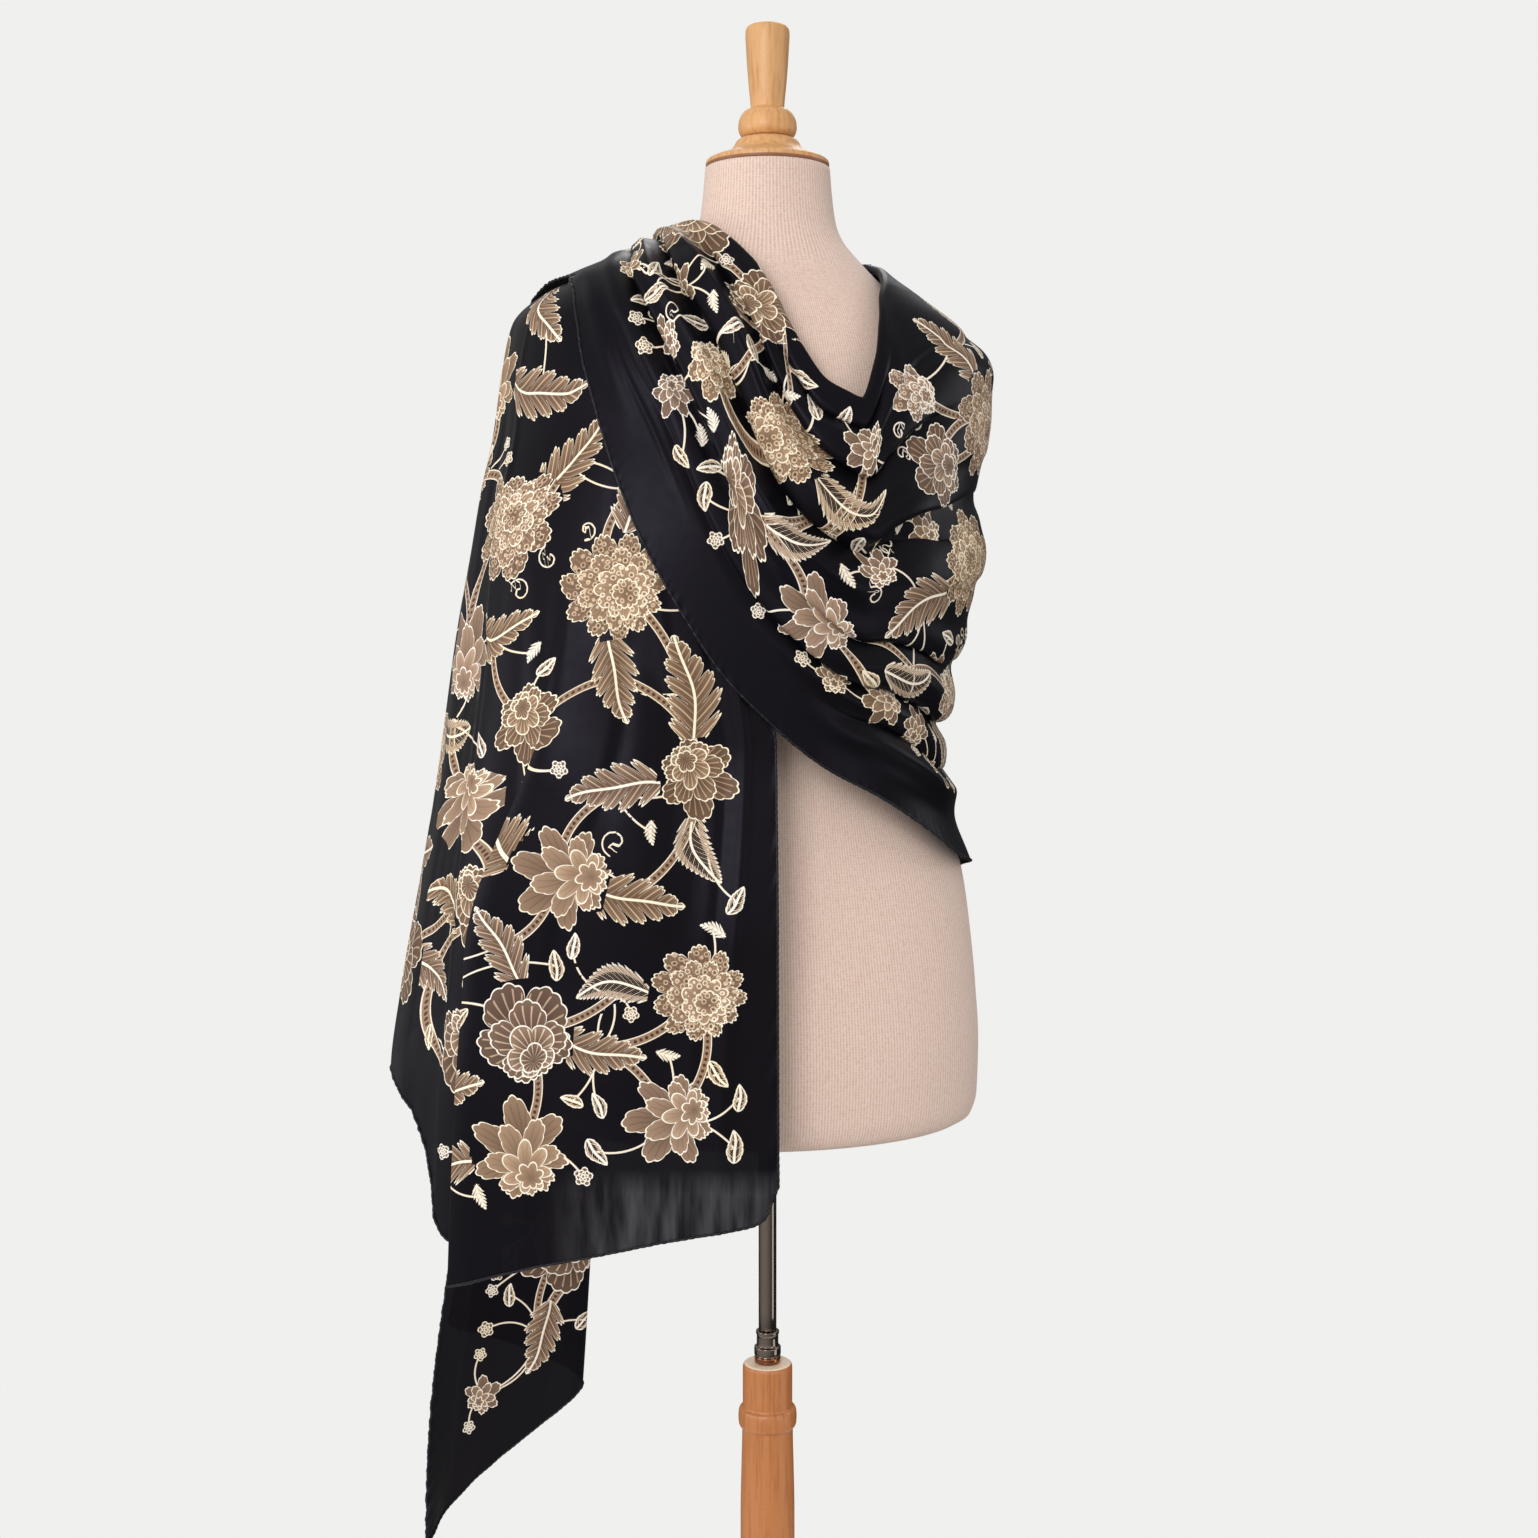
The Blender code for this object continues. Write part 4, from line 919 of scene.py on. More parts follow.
def window(row, column, reach):
    """The part of the grid within reach of a point, as two slices, and the flat places of its
    points in millimetres from there: x is the length along each row and y the length along each
    column, put square by the angle between the two."""
    span = np.array([-reach, reach])
    rows = np.searchsorted(across_mm[:, column], across_mm[row, column] + span)
    low, high = max(rows[0] - 1, 0), min(rows[1] + 1, shawl.shape[0])
    ends = [np.searchsorted(along_mm[i], along_mm[i, column] + span) for i in (low, row, high - 1)]
    left, right = min(end[0] for end in ends), max(end[1] for end in ends)
    rows, columns = slice(low, high), slice(max(left - 1, 0), min(right + 1, shawl.shape[1]))
    x = along_mm[rows, columns] - along_mm[rows, column][:, None]
    y = across_mm[rows, columns] - across_mm[row, columns][None, :]
    u = shawl[row, min(column + 1, shawl.shape[1] - 1)] - shawl[row, column - 1]
    v = shawl[min(row + 1, ROWS - 1), column] - shawl[row - 1, column]
    lean = float(np.dot(u, v) / (np.linalg.norm(u) * np.linalg.norm(v) + 1e-12))
    return rows, columns, x + lean * y, y * math.sqrt(1 - lean * lean)


def is_gathered(row, column, size):
    """Whether the chord across a motif's place is much shorter than its flat length."""
    ends = row_at(column, across_mm[row, column] + np.array([-CHORD_HALF, CHORD_HALF]) * size)
    low, high = np.clip(ends, 0, ROWS - 1)
    chord = np.linalg.norm(shawl[high, column] - shawl[low, column]) / MM
    return chord < GATHERED_BELOW * (across_mm[high, column] - across_mm[low, column])


def plant(motif, row, column, turn, size, host=-1):
    """Draws a motif if its place is free. Its own x and y run from -1 to 1 over its size, and a
    leaf is bent by y - bend (1 - x^2). It may tuck under its host, but under nothing else."""
    if size > LARGE and is_gathered(row, column, size):
        return False
    rows, columns, x, y = window(row, column, size * MOTIF_WINDOW + WINDOW_MARGIN)
    cosine, sine = math.cos(turn), math.sin(turn)
    x, y = (x * cosine + y * sine) / size, (y * cosine - x * sine) / size
    if motif.count > 0:
        inside = size * (1 - np.hypot(x, y))
    else:
        y = y - motif.bend * (1 - x * x)
        rim = motif.width * np.sqrt(np.clip(1 - x * x, 0, 1)) - np.abs(y)
        inside = size * np.where(np.abs(x) < 1, rim, 1 - np.hypot(x, y))
    waver = turn + row
    x, y = x + HAND_WAVER * np.sin(5.1 * y + waver), y + HAND_WAVER * np.sin(4.3 * x + 2 * waver)
    held = cover[rows, columns]
    hosted = owner[rows, columns] == host if host >= 0 else np.zeros_like(held, bool)
    taken = (inside > -motif.gap) & (held > 0) & ~hosted
    if (taken | ((inside > 0) & (room[rows, columns] < 0))).any():
        return False
    inside = np.where(hosted, np.minimum(inside, TUCK_UNDER - held), inside)
    mine = inside > held
    cover[rows, columns] = np.where(mine, inside, held)
    owner[rows, columns] = np.where(mine, len(planted), owner[rows, columns])
    faces = faces_in(rows, columns)
    places = corners_of(np.stack([x, y, inside], axis=-1))
    middle = places[..., 2].mean(axis=2)
    mine = middle > face_cover[faces]
    face_cover[faces][mine] = middle[mine]
    bloom[faces][mine] = places[mine]
    nature[faces][mine] = motif.tone, size, motif.lean
    habit[faces][mine] = motif.depth, motif.point, motif.fine
    order[faces][mine, 0] = motif.count
    order[faces][mine, 2] = GOLDEN_RATIO * len(planted) % 1
    planted.append(Planted(motif, row, column, size))
    return True


def step_off(row, column, turn, length):
    """The grid point at a length and a turn from another, over the cloth."""
    to_row = row_at(column, across_mm[row, column] + length * math.sin(turn))
    to_row = int(np.clip(to_row, 2, ROWS - 3))
    beside = along_mm[to_row, column] + length * math.cos(turn)
    return to_row, int(np.clip(np.searchsorted(along_mm[to_row], beside), 2, shawl.shape[1] - 3))


def draw_line(rows, columns, x, y, path, half_width, alone=False):
    """A printed line along a path in the window's flat places. Each point near it gets its signed
    distance from the path and its length along it. A line that stands alone crosses nothing."""
    runs = np.diff(path, axis=0)
    length = length_along(path)
    (left, low), (right, high) = path.min(axis=0) - LINE_MARGIN, path.max(axis=0) + LINE_MARGIN
    near = (x > left) & (x < right) & (y > low) & (y < high)
    from_start = np.stack([x[near], y[near]], -1)[:, None] - path[:-1]
    share = np.clip((from_start * runs).sum(-1) / (runs * runs).sum(-1), 0, 1)
    off = from_start - share[..., None] * runs
    each, best = np.arange(len(off)), np.argmin((off**2).sum(-1), axis=1)
    off, run, share = off[each, best], runs[best], share[each, best]
    gone = length[best] + share * np.hypot(*run.T)
    beside = (run[:, 0] * off[:, 1] - run[:, 1] * off[:, 0] < 0) & (gone > 0) & (gone < length[-1])
    distance = np.hypot(*off.T) * np.where(beside, -1, 1)
    if (room[rows, columns][near][np.abs(distance) < half_width] < 0).any():
        return
    if alone:
        lines = np.pad(stem_far, ((0, 1), (0, 1)), mode="edge")[rows, columns][near]
        on_motif = (cover[rows, columns][near] > CURL_GAP) & (gone > FREE_OF_MOTIF)
        taken = on_motif | ((lines < STEM_GAP) & (gone > FREE_OF_STEM))
        if (taken & (np.abs(distance) < half_width + CURL_GAP)).any():
            return
    places = np.full((*x.shape, 3), NO_STEM)
    places[near] = np.stack([distance, gone, 0 * distance], -1)
    places = corners_of(places)
    faces = faces_in(rows, columns)
    far = np.abs(places[..., 0]).mean(axis=2) - half_width
    closer = (far < stem_far[faces]) & (np.abs(places[..., 0]).max(axis=2) < half_width + FACE_REACH)
    stem_far[faces][closer] = far[closer]
    stem[faces][closer] = places[closer]
    order[faces][closer, 1] = half_width


def draw_stem(start, end, bow, half_width):
    """A stem on the curve (1-t)^2 a + 2 t (1-t) m + t^2 b, where m lies off the middle by the bow."""
    row, column = ((a + b) // 2 for a, b in zip(start, end))
    across, along = across_mm[end[0], start[1]], along_mm[start[0], end[1]]
    reach = max(abs(across_mm[start] - across), abs(along_mm[start] - along))
    rows, columns, x, y = window(row, column, reach * STEM_WINDOW + STEM_MARGIN)
    ends = [(i - rows.start, j - columns.start) for i, j in (start, end)]
    if not all(0 <= i < x.shape[0] and 0 <= j < x.shape[1] for i, j in ends):
        return
    a, b = (np.array([x[place], y[place]]) for place in ends)
    m = (a + b) / 2 + bow * np.array([a[1] - b[1], b[0] - a[0]])
    t = np.linspace(0, 1, STEM_POINTS)[:, None]
    draw_line(rows, columns, x, y, (1 - t) ** 2 * a + 2 * t * (1 - t) * m + t * t * b, half_width)


def draw_tendril(row, column, turn, size, side):
    """A thin curl: a spiral about a point ahead whose radius shrinks, 0.6 size (1 - 0.85 t)."""
    rows, columns, x, y = window(row, column, size * TENDRIL_WINDOW + WINDOW_MARGIN)
    t = np.linspace(0, 1, TENDRIL_POINTS)
    angle = turn + math.pi + side * TENDRIL_CURL * t
    radius = 0.6 * size * (1 - 0.85 * t)
    path = np.stack([radius * np.cos(angle), radius * np.sin(angle)], axis=-1)
    draw_line(rows, columns, x, y, path - path[0], TENDRIL, alone=True)


def plant_all():
    """Throws the motifs at random places, largest first. Leaves are tucked under a bloom, and buds
    and stars stand on thin stems beside what is already there."""
    for motif in MOTIFS:
        blooms = [(k, p) for k, p in enumerate(planted) if p.motif.count > 0 and p.size > LARGE]
        for _ in range(motif.tries):
            size, turn = lots.uniform(motif.smallest, motif.largest), lots.uniform(0, 2 * math.pi)
            feather = motif.name == "feather leaf"
            if motif.name == "acanthus leaf" or (feather and lots.uniform() < FEATHERS_TUCKED):
                number, host = blooms[lots.integers(len(blooms))]
                row, column = step_off(host.row, host.column, turn, host.size + size * LEAF_MIDDLE)
                plant(motif, row, column, turn, size, number)
                continue
            row, column = int(lots.integers(4, ROWS - 4)), int(lots.integers(4, shawl.shape[1] - 4))
            if lots.uniform() > step_along[row, column] / WIDEST_STEP:
                continue
            if motif.count > 0 and lots.uniform() < BESIDE_BAND:
                row = int(row_at(column, LOWER_BAND + size + BAND_GAP))
            if plant(motif, row, column, turn, size) and motif.name in ("bud", "star"):
                for side in (-FAN, FAN):
                    beside = step_off(row, column, turn + FAN_TURN * side, size * FAN_STEP)
                    plant(motif, *beside, turn + side, size * FAN_SIZE)


def join_with_stems():
    """Thick dotted stems join the blooms, and thin ones carry the buds, stars and feather leaves."""
    spots = np.array([shawl[p.row, p.column] for p in planted]) / MM
    columns, sizes = np.array([p.column for p in planted]), np.array([p.size for p in planted])
    links = np.zeros(len(planted), int)
    for k, this in enumerate(planted):
        large = this.motif.count > 0 and this.size > LARGE
        least, most = STEM_REACH if large else SPRAY_REACH
        away = np.linalg.norm(spots - spots[k], axis=1)
        away = away + FAR_APART * (np.abs(columns - this.column) > STEM_COLUMNS)
        away[k] = FAR_APART
        near = (away > least) & (away < (most if large else most + sizes))
        near &= sizes > (LARGE if large else SPRAY_HOST)
        nearest = [o for o in np.argsort(away) if near[o]]
        for o in nearest[: 2 if large else 1]:
            if large and (links[k] > 1 or links[o] > 2):
                continue
            links[[k, o]] += 1
            bow = lots.uniform(*STEM_BOW) * lots.choice([-1, 1])
            host = planted[o]
            ends = (this.row, this.column), (host.row, host.column)
            draw_stem(*ends, bow, THICK_STEM if large else THIN_STEM)


def curl_tendrils():
    """Tendrils set off from the rims of the blooms."""
    blooms = [p for p in planted if p.motif.count > 0 and p.size > SPRAY_HOST]
    for _ in range(TENDRILS):
        host, turn = blooms[lots.integers(len(blooms))], lots.uniform(0, 2 * math.pi)
        size, side = lots.uniform(*TENDRIL_REACH), lots.choice([-1, 1])
        row, column = step_off(host.row, host.column, turn, host.size * TENDRIL_START)
        draw_tendril(row, column, turn - TENDRIL_SLANT * side, size, side)


room = printed_room()
plant_all()
join_with_stems()
curl_tendrils()

OUTLINE_WIDTH = 1.0
Ring = namedtuple("Ring", "reach offset notch twist veins frill fill shade")
RINGS = [
    Ring(0.97, 0.00, 1.00, 0.00, 6, 0.045, 0.54, 0.22),
    Ring(0.74, 0.12, 0.90, 1.57, 5, 0.035, 0.64, 0.26),
    Ring(0.50, 0.24, 0.85, 0.00, 4, 0.000, 0.76, 0.30),
    Ring(0.27, 0.34, 0.60, 1.57, 3, 0.000, 0.66, 0.20),
]
# Real ones are under 2 mm. They are drawn coarser so that they show
SCALE_PITCH = 5.0
# A scale is pale in a narrow ring about its middle, and dark at the middle, but no darker than this
SCALE_RING, SCALE_RING_WIDTH, SCALE_HEART = 0.36, 0.08, 0.15
RING_LIGHTER, HEART_DARKER, DARKEST_HEART = 0.34, 0.22, 0.12
BARE_BELOW = 0.05
# How far a bloom that leans is seen from its side
SIDE_ON = 0.17
# How much darker a motif of tone 1 is filled. A petal's veins are darker than its fill at tone 0,
# and paler at tone 1
TONE_DARKENS = 0.26
VEIN_WIDTH, VEINS_END = 0.30, 0.90
VEIN_BY_TONE, VEIN_DARKER = 0.62, 0.20
# A leaf's fill at its midrib and how much paler it is at its edge, how its lobes slant and how deep
# the small ones are, the widths of the veins in both, and how much paler these are. A feather leaf
# is dark over its inner half
LEAF_FILL, LEAF_EDGE_PALER = 0.50, 0.20
LOBE_SLANT, SMALL_LOBE_DEPTH = 1.1, 1.2
LOBE_VEIN, SMALL_VEIN, SMALL_VEIN_STRENGTH = 0.045, 0.11, 0.50
LEAF_VEIN_PALER = 0.36
FEATHER_HEART = 0.50
BEAD_SPACING = 4.4
BEAD_RADIUS_SQUARED = 1.7
STEM_EDGE = 0.8
STEM_LINE, STEM_FILL, STEM_DOT = 0.95, 0.52, 0.14
# The print's inks, from the bare ground up through browns and sands to the cream outlines
INKS = [
    (0.00, "#0B0A0D"), (0.07, "#0B0A0D"), (0.10, "#45332A"), (0.34, "#705A4B"),
    (0.60, "#A78B75"), (0.80, "#D0B89F"), (1.00, "#F5ECDF"),
]


def layered(ground, *layers):
    """Lays each value over what is there, as far as its mask is 1: ground + (value - ground) mask."""
    for value, mask in layers:
        ground = ground + (value - ground) * mask
    return ground


def bloom_ink(x, y, size, lean, tone, depth, point, fine, count, scale, **rest):
    """Petals in rings. Ring k ends at reach (1 - depth notch (1 - |cos h|^point)) with a small frill,
    where h = n a / 2 + twist and a is the angle about a centre set back by lean offset. It is seen
    from the side by a factor 1 - side lean (1 - sin a), and fitted back into its circle. It has a
    cream outline, a fill that darkens inwards, and veins at even angles."""
    line = OUTLINE_WIDTH / size
    drop = lean * SIDE_ON
    x, y = x * (1 - drop), y * (1 - drop) + drop
    xx = x * x
    ink = 0.0
    for ring in RINGS:
        ahead = y + lean * ring.offset
        radius, angle = compute("SQRT", ahead * ahead + xx), compute("ARCTAN2", ahead, x)
        turn = angle * count * 0.5 + ring.twist
        bite = (1 - abs(compute("COSINE", turn)) ** point) * depth
        behind = (1 - compute("SINE", angle)) * lean
        edge = (1 - bite * ring.notch) * (ring.reach - behind * (SIDE_ON * ring.reach))
        if ring.frill:
            edge = edge - ring.frill + abs(compute("COSINE", turn * 5)) * ring.frill
        share, inner = radius / edge, radius < edge - line
        fill = share * ring.shade + (ring.fill - ring.shade) - tone * TONE_DARKENS
        vein = (abs(compute("COSINE", turn * ring.veins)) < VEIN_WIDTH) * (share < VEINS_END) * inner
        veined = fill + (tone * VEIN_BY_TONE - VEIN_DARKER)
        ink = layered(ink, (1.0, radius < edge), (fill, inner), (veined, vein))
    scaled = fine * (ink > BARE_BELOW)
    ring, heart = abs(scale - SCALE_RING) < SCALE_RING_WIDTH, scale < SCALE_HEART
    dark = compute("MAXIMUM", ink - HEART_DARKER, DARKEST_HEART)
    return layered(ink, (ink + RING_LIGHTER, ring * scaled), (dark, heart * scaled))


def leaf_ink(x, y, size, tone, depth, fine, count, **rest):
    """A leaf from x = -1 to its tip at 1, of half-width (1 - x^2)^0.7 (1 - 0.3 x) / 2. It is cut into
    lobes by |2 t - 1|^3, where t is the place within a lobe, and each lobe into three smaller ones.
    Veins run up the lobes, and the midrib and outline are cream. A feather leaf is dark inside."""
    line = OUTLINE_WIDTH / size
    aside = abs(y)
    width = compute("MAXIMUM", 1 - x * x, 0.0) ** 0.7 * (1 - x * 0.30) * 0.50
    lobe = (x - aside * LOBE_SLANT) * abs(count) * 0.5
    far, small_far = (abs(compute("FRACT", lobe * finer) - 0.5) for finer in (1, 3))
    edge = width * (1 - (small_far * small_far * SMALL_LOBE_DEPTH + (far * 2) ** 3) * depth)
    share, blade, inner = aside / width, aside < edge, aside < edge - line
    fill = share * LEAF_EDGE_PALER + LEAF_FILL - tone * TONE_DARKENS
    vein = compute("MAXIMUM", far < LOBE_VEIN, (small_far < SMALL_VEIN) * SMALL_VEIN_STRENGTH)
    heart, rib = (share < FEATHER_HEART) * (fine > 0.5), aside < line
    ink = layered(0.0, (1.0, blade), (fill, inner), (0.0, heart * inner))
    return layered(ink, (fill + LEAF_VEIN_PALER, vein * inner), (1.0, rib * blade))


def stem_ink(across_stem, along_stem, stem_half, **rest):
    """Stems: sand with cream edges and a row of brown dots, or a single cream line when thin."""
    off = abs(across_stem)
    inner = off < stem_half - STEM_EDGE
    bead = (compute("FRACT", along_stem / BEAD_SPACING) - 0.5) * BEAD_SPACING
    dot = off * off + bead * bead < BEAD_RADIUS_SQUARED
    return layered(STEM_LINE, (STEM_FILL, inner), (STEM_DOT, dot * inner)) * (off < stem_half)


def printed_ink(known):
    """The ink at each point: the motif over the stem, and bare ground elsewhere."""
    motif = layered(bloom_ink(**known), (leaf_ink(**known), known["count"] < 0))
    return layered(stem_ink(**known), (motif, (motif > 0.001) * (known["cover"] > 0)))


# The satin
# Silk satin is woven with long floats, so its face is smooth and gives broad soft lights on the
# folds, and its back is duller. One layer against the light lets a little of it through.

# The real weave is under 0.1 mm. It is drawn coarser so that it shows
WEAVE_PITCH = 1.4 * MM
CREPE_SIZE = 9 * MM
WEAVE_TO_CREPE = 0.25
PLAIN_ROUGHNESS, PRINT_ROUGHER, CREPE_ROUGHER = 0.34, 0.10, 0.10
SHEEN_TINT = "#8F86C8"
SPECULAR_TINT = "#D3CBE8"
# A golden motif keeps less of its green and blue than a rosy one
GOLD_TINT = (0.0, -0.04, -0.17)
# Just below the form a single layer hangs free, and the light comes through it in upright streaks
BELOW_FORM = (690 * MM, 672 * MM)
SINGLE_LAYER = (-160 * MM, -100 * MM)
STREAK_WIDTH = 9 * MM
STREAK_STRETCH = 0.16
STREAK_FROM = 0.30
LIGHT_THROUGH = (0.14, 0.135, 0.14)
CARRIED = {
    "bloom": ("x", "y", "cover"), "stem": ("across_stem", "along_stem", "spare"),
    "nature": ("tone", "size", "lean"), "habit": ("depth", "point", "fine"),
    "order": ("count", "stem_half", "golden"),
}


def light_through(tree, place):
    """How much light comes through the single layer: noise drawn out along Z, and only there."""
    upright = add(tree, "VectorMath", {0: place, 1: (1, 1, STREAK_STRETCH)}, operation="MULTIPLY")
    streak = Term(add(tree, "TexNoise", {"Vector": upright, "Scale": 1 / STREAK_WIDTH, "Detail": 2.0}))
    through = compute("MAXIMUM", streak - STREAK_FROM, 0.0)
    for axis, (dark, light) in {"X": SINGLE_LAYER, "Z": BELOW_FORM}.items():
        along = add(tree, "SeparateXYZ", {0: place}, out=axis)
        through = through * Term(add(tree, "MapRange", {"Value": along, "From Min": dark, "From Max": light}))
    return through


def printed_satin():
    """Black silk satin with the print in discharge inks, a little duller where it is printed."""
    material, tree, shader = new_material(
        "printed_silk_satin", Specular_IOR_Level=0.12, Sheen_Weight=0.02, Sheen_Roughness=0.35, Alpha=0.996,
        Sheen_Tint=linear(SHEEN_TINT), Specular_Tint=linear(SPECULAR_TINT),
    )
    known = {}
    for attribute, names in CARRIED.items():
        read = add(tree, "Attribute", out="Vector", attribute_name=attribute)
        known.update(zip(names, map(Term, add(tree, "SeparateXYZ", {0: read}).node.outputs)))
    motif = add(tree, "CombineXYZ", {0: known["x"], 1: known["y"]})
    cells = add(tree, "VectorMath", {0: motif, 3: known["size"] / SCALE_PITCH}, operation="SCALE")
    scale = add(tree, "TexVoronoi", {"Vector": cells, "Scale": 1.0, "Randomness": 0.45}, out="Distance")
    ink = printed_ink(known | {"scale": Term(scale)})
    colour = add(tree, "ValToRGB", {"Fac": ink}, INKS)
    tint = add(tree, "VectorMath", {0: known["golden"], 1: GOLD_TINT, 2: (1, 1, 1)}, operation="MULTIPLY_ADD")
    colour = add(tree, "VectorMath", {0: colour, 1: tint}, operation="MULTIPLY")
    place = add(tree, "TexCoord", out="Object")
    lit = {0: light_through(tree, place), 1: LIGHT_THROUGH, 2: colour}
    colour = add(tree, "VectorMath", lit, operation="MULTIPLY_ADD")
    crepe = Term(add(tree, "TexNoise", {"Vector": place, "Scale": 1 / CREPE_SIZE, "Detail": 3.0}))
    weave = Term(add(tree, "TexNoise", {"Vector": place, "Scale": 1 / WEAVE_PITCH, "Detail": 2.0}))
    roughness = crepe * CREPE_ROUGHER + (ink * PRINT_ROUGHER + PLAIN_ROUGHNESS)
    tree.links.new(roughness.socket, shader.inputs["Roughness"])
    link_shader(tree, shader, colour, crepe + weave * WEAVE_TO_CREPE, 0.22, 0.6 * MM)
    return material


satin = printed_satin()
STRETCHES = {
    "front_end": ("shawl_front_end", 0, ROWS),
    "back_stretch": ("shawl_back", 1, ROWS),
    "front_wrap": ("shawl_front_wrap", 2, ROWS + TURNED_ROWS),
    "back_end": ("shawl_back_end", 3, ROWS),
}
# The places within a motif or a stem go on the corners of the faces, and the rest on the faces
PRINTED = {"bloom": bloom, "stem": stem, "nature": nature, "habit": habit, "order": order}
sheets = {}
for name, (node, seam, rows) in STRETCHES.items():
    first, last = seams[seam], seams[seam + 1]
    sheets[name] = shawl_piece(name, first, last, rows, satin)
    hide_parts(node)
    for field, whole in PRINTED.items():
        domain = "CORNER" if whole.ndim == 4 else "FACE"
        carried = sheets[name].data.attributes.new(field, "FLOAT_VECTOR", domain)
        carried.data.foreach_set("vector", whole[: rows - 1, first:last].ravel().astype("f"))


# The hems
# Each raw edge is rolled between finger and thumb and whipped down with silk thread, so it is a
# thin round cord of cloth that narrows at every stitch.

HEM_RADIUS = 1.15 * MM
HEM_SIDES = 8
HEM_SPACING = 1.3 * MM
STITCH_SPACING = 5.2 * MM
STITCH_DIP = 0.28
THREAD_SIZE = 1.2 * MM


def hem_material():
    """The same satin, rolled: a dark cord whose tone varies a little with noise."""
    material, tree, shader = new_material(
        "rolled_satin_edge", Base_Color=linear("#0D0C12"), Roughness=0.42, Specular_IOR_Level=0.25
    )
    place = add(tree, "TexCoord", out="Object")
    thread = add(tree, "TexNoise", {"Vector": place, "Scale": 1 / THREAD_SIZE, "Detail": 2.0})
    colour = add(tree, "ValToRGB", {"Fac": thread}, [(0.35, "#07060A"), (0.75, "#181620")])
    link_shader(tree, shader, colour, thread, 0.3, 0.3 * MM)
    return material


def rolled_hem(name, *runs):
    """A tube along the runs of grid points given: ring = path + r (n cos a + b sin a), with a radius
    that dips at every stitch, r = R (1 - dip |cos(pi s / spacing)|^6)."""
    rows, columns = np.concatenate(runs).T
    path, normal = shawl[rows, columns], unit(normals[rows, columns])
    length = length_along(path)
    at = np.arange(0, length[-1], HEM_SPACING)
    path, normal = (
        np.stack([np.interp(at, length, line) for line in lines.T], axis=-1) for lines in (path, normal)
    )
    along = unit(np.gradient(path, axis=0))
    normal = square_to(along, normal)
    beside = np.cross(along, normal)
    dip = np.abs(np.cos(math.pi * at / STITCH_SPACING)) ** 6
    radius = (HEM_RADIUS * (1 - STITCH_DIP * dip))[:, None, None]
    angle = angles_round(HEM_SIDES)[None, :, None]
    rings = path[:, None] + radius * (normal[:, None] * np.cos(angle) + beside[:, None] * np.sin(angle))
    start, end = (np.repeat(path[k][None, None], HEM_SIDES, axis=1) for k in (0, -1))
    return ringed_piece(name, np.concatenate([start, rings, end]), hem_satin)


def on_row(row, start, end):
    """Grid points along one row, from a start column to an end column."""
    columns = np.arange(start, end + 1) if end > start else np.arange(start, end - 1, -1)
    return np.stack([np.full_like(columns, row), columns], axis=-1)


def down_column(column, start, end):
    """Grid points along one column, from a start row to an end row."""
    return on_row(column, start, end)[:, ::-1]


# Vectors that point outwards from the shawl's grid
normals = np.cross(np.gradient(shawl, axis=0), np.gradient(shawl, axis=1))
hem_satin = hem_material()
neck = ROWS - 1
start, left_side, right_side, shoulder, end = seams.tolist()
hems = {
    "front_end": [rolled_hem("front_end_hem", down_column(start, neck, 0), on_row(0, 1, left_side))],
    "back_stretch": [
        rolled_hem("back_lower_hem", on_row(0, left_side, right_side)),
        rolled_hem("back_neck_hem", on_row(neck, left_side, right_side)),
    ],
    "front_wrap": [rolled_hem("front_wrap_hem", on_row(0, right_side, shoulder))],
    "back_end": [rolled_hem(
        "back_end_hem", on_row(0, shoulder, end), down_column(end, 1, neck), on_row(neck, end - 1, shoulder)
    )],
}

# The studio
# The figure stands on a pale floor in soft light from the front and the viewer's left, before an
# even pale grey.

FLOOR_RADIUS = 0.65
FLOOR_SIDES = 128
# Just under the base, so that the two don't lie in one plane
FLOOR_HEIGHT = -0.5 * MM
FLOOR_GREY = "#E6E6E3"
WALL_GREY = "#F0F0EE"
# Towards here the unseen studio is brightest, and behind and below it is dim
SKY_BRIGHTEST = (-0.45, -0.45, 0.77)
SKY_DIM = 0.06
SKY_BRIGHT = 1.0
FRAME_PIXELS = 1538
PIXELS_TO_METRE_AT_ONE = 2050
AIM_ABOVE_MIDDLE = 769 - 618
SENSOR = 36
EYE = (0.0012, -1.64, 1.092)


def link(piece):
    """Puts an object into the scene."""
    bpy.context.scene.collection.objects.link(piece)
    return piece


angle = angles_round(FLOOR_SIDES)
x, y = FLOOR_RADIUS * np.cos(angle), FLOOR_RADIUS * np.sin(angle)
ring = np.stack([x, y, 0 * angle + FLOOR_HEIGHT], axis=-1)
disc = bpy.data.meshes.new("floor")
disc.from_pydata(ring.tolist(), [], [list(range(FLOOR_SIDES))])
disc.materials.append(new_material("pale_floor_paint", Roughness=0.7, Base_Color=linear(FLOOR_GREY))[0])
floor = link(bpy.data.objects.new("floor", disc))

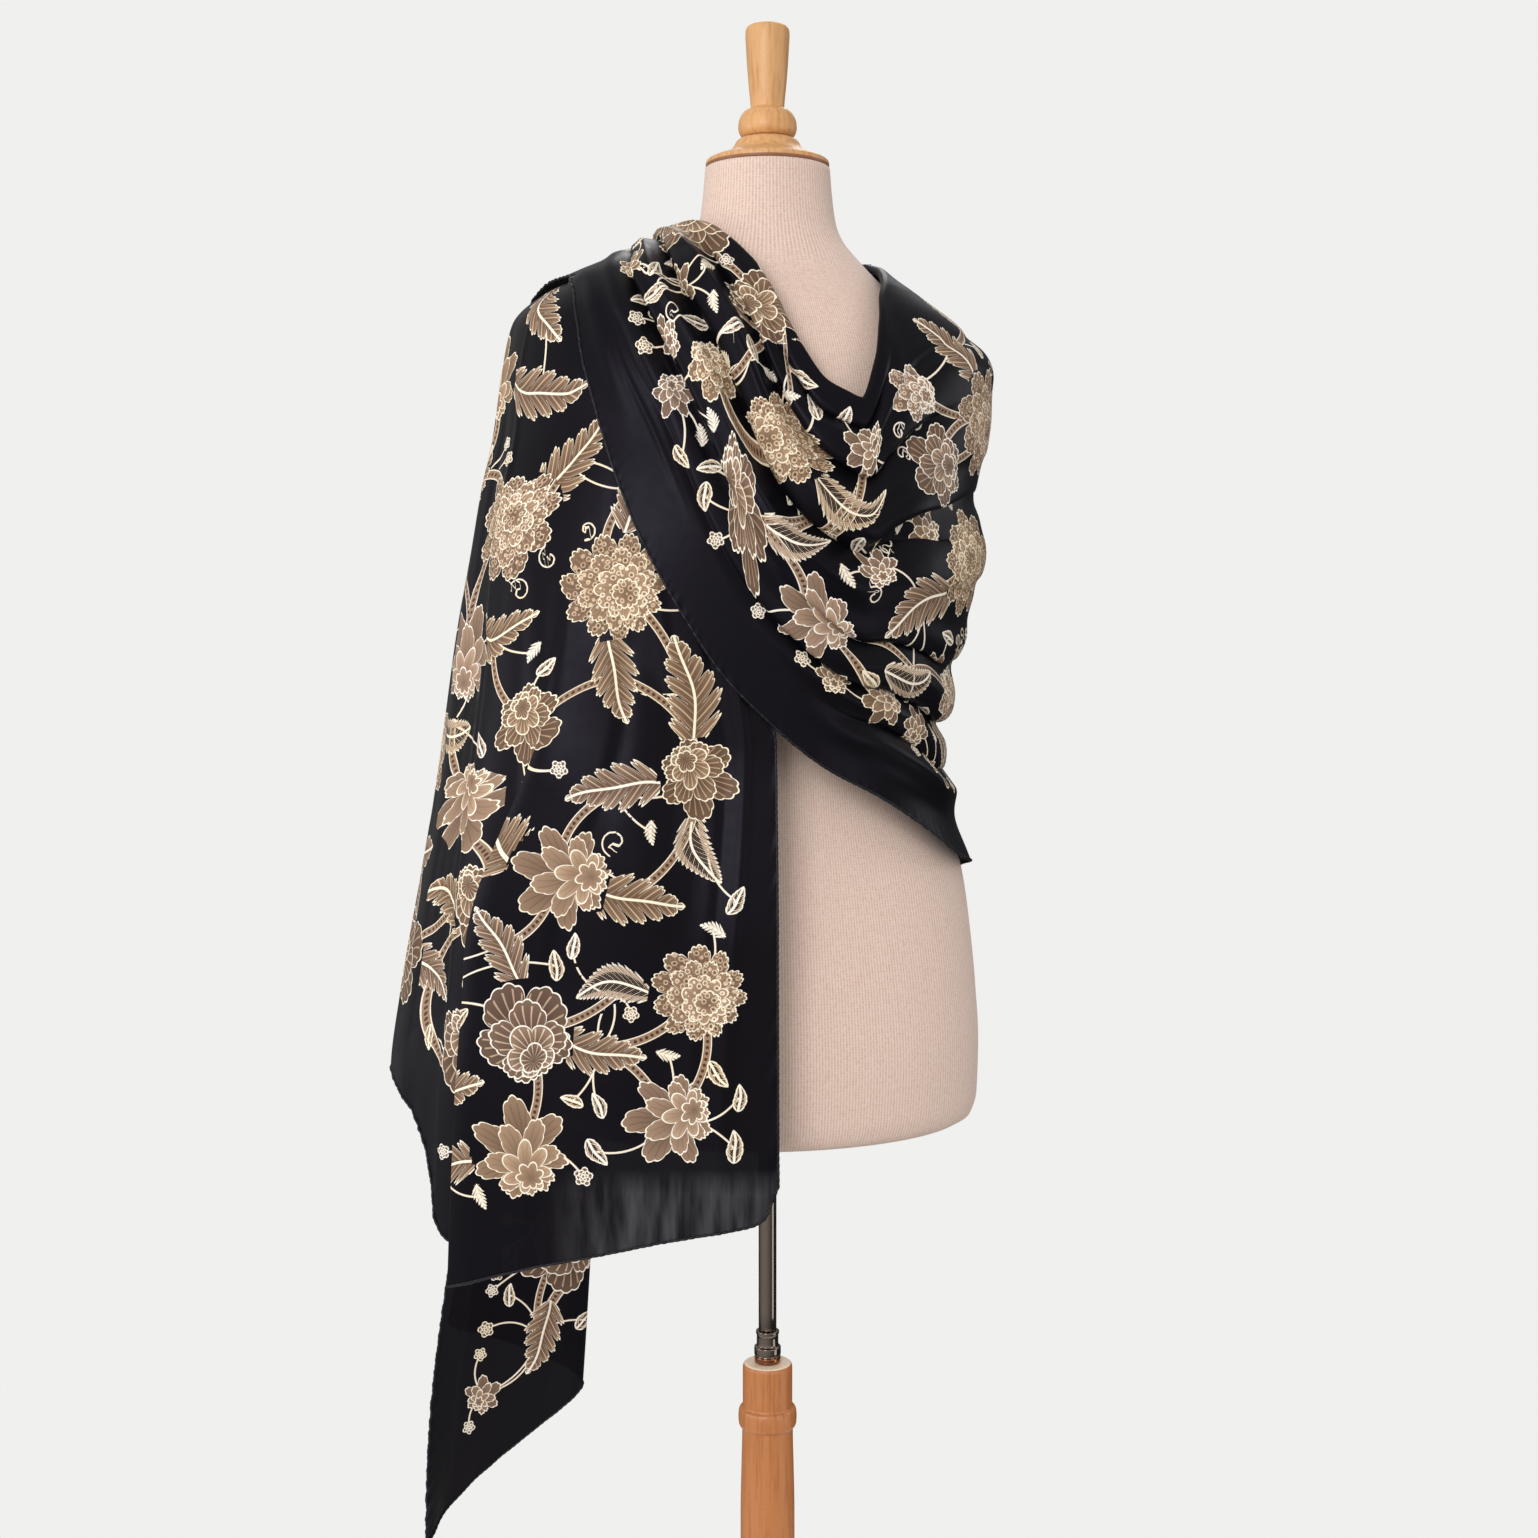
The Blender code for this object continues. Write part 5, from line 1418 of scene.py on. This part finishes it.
world = bpy.data.worlds.new("studio")
world.use_nodes = True
studio = world.node_tree
backdrop = studio.nodes["Background"]
backdrop.inputs["Color"].default_value = linear(WALL_GREY)
seen = add(studio, "LightPath", out="Is Camera Ray")
heading = {0: add(studio, "TexCoord", out="Generated"), 1: SKY_BRIGHTEST}
facing = add(studio, "VectorMath", heading, out="Value", operation="DOT_PRODUCT")
sky = {"Value": facing, "From Min": -0.7, "From Max": 0.9, "To Min": SKY_DIM, "To Max": SKY_BRIGHT}
sky = add(studio, "MapRange", sky, interpolation_type="SMOOTHSTEP")
glow = add(studio, "Mix", {0: seen, 2: sky, 3: 1.0})
studio.links.new(glow, backdrop.inputs["Strength"])
bpy.context.scene.world = world


def soft_lamp(name, place, aim, size, power):
    """A square soft box that faces the figure."""
    light = bpy.data.lights.new(name, "AREA")
    light.size, light.energy = size, power
    lamp = link(bpy.data.objects.new(name, light))
    lamp.location = place
    heading = mathutils.Vector(aim) - mathutils.Vector(place)
    lamp.rotation_euler = heading.to_track_quat("-Z", "Y").to_euler()


soft_lamp("key", (-0.85, -2.3, 1.75), (0, 0, 1.0), 1.0, 28)
soft_lamp("fill", (1.8, -1.6, 1.1), (0, 0, 0.85), 1.2, 9)
soft_lamp("low_card", (1.7, -0.5, 0.1), (0, 0, 0.6), 0.7, 3)
soft_lamp("behind", (0.3, 2.0, 3.0), (0, 0, 1.1), 1.2, 15)
soft_lamp("left_card", (-1.8, -0.5, 1.1), (-0.2, 0, 0.9), 0.9, 8)
soft_lamp("right_card", (1.6, 0.35, 1.45), (0.15, 0, 1.2), 0.7, 4)

view = bpy.data.cameras.new("camera")
view.sensor_width = SENSOR
view.lens = SENSOR * PIXELS_TO_METRE_AT_ONE / FRAME_PIXELS
camera = link(bpy.data.objects.new("camera", view))
camera.location = EYE
camera.rotation_euler = (math.radians(90) - math.atan(AIM_ABOVE_MIDDLE / PIXELS_TO_METRE_AT_ONE), 0, 0)
bpy.context.scene.camera = camera
bpy.context.scene.view_settings.view_transform = "Standard"
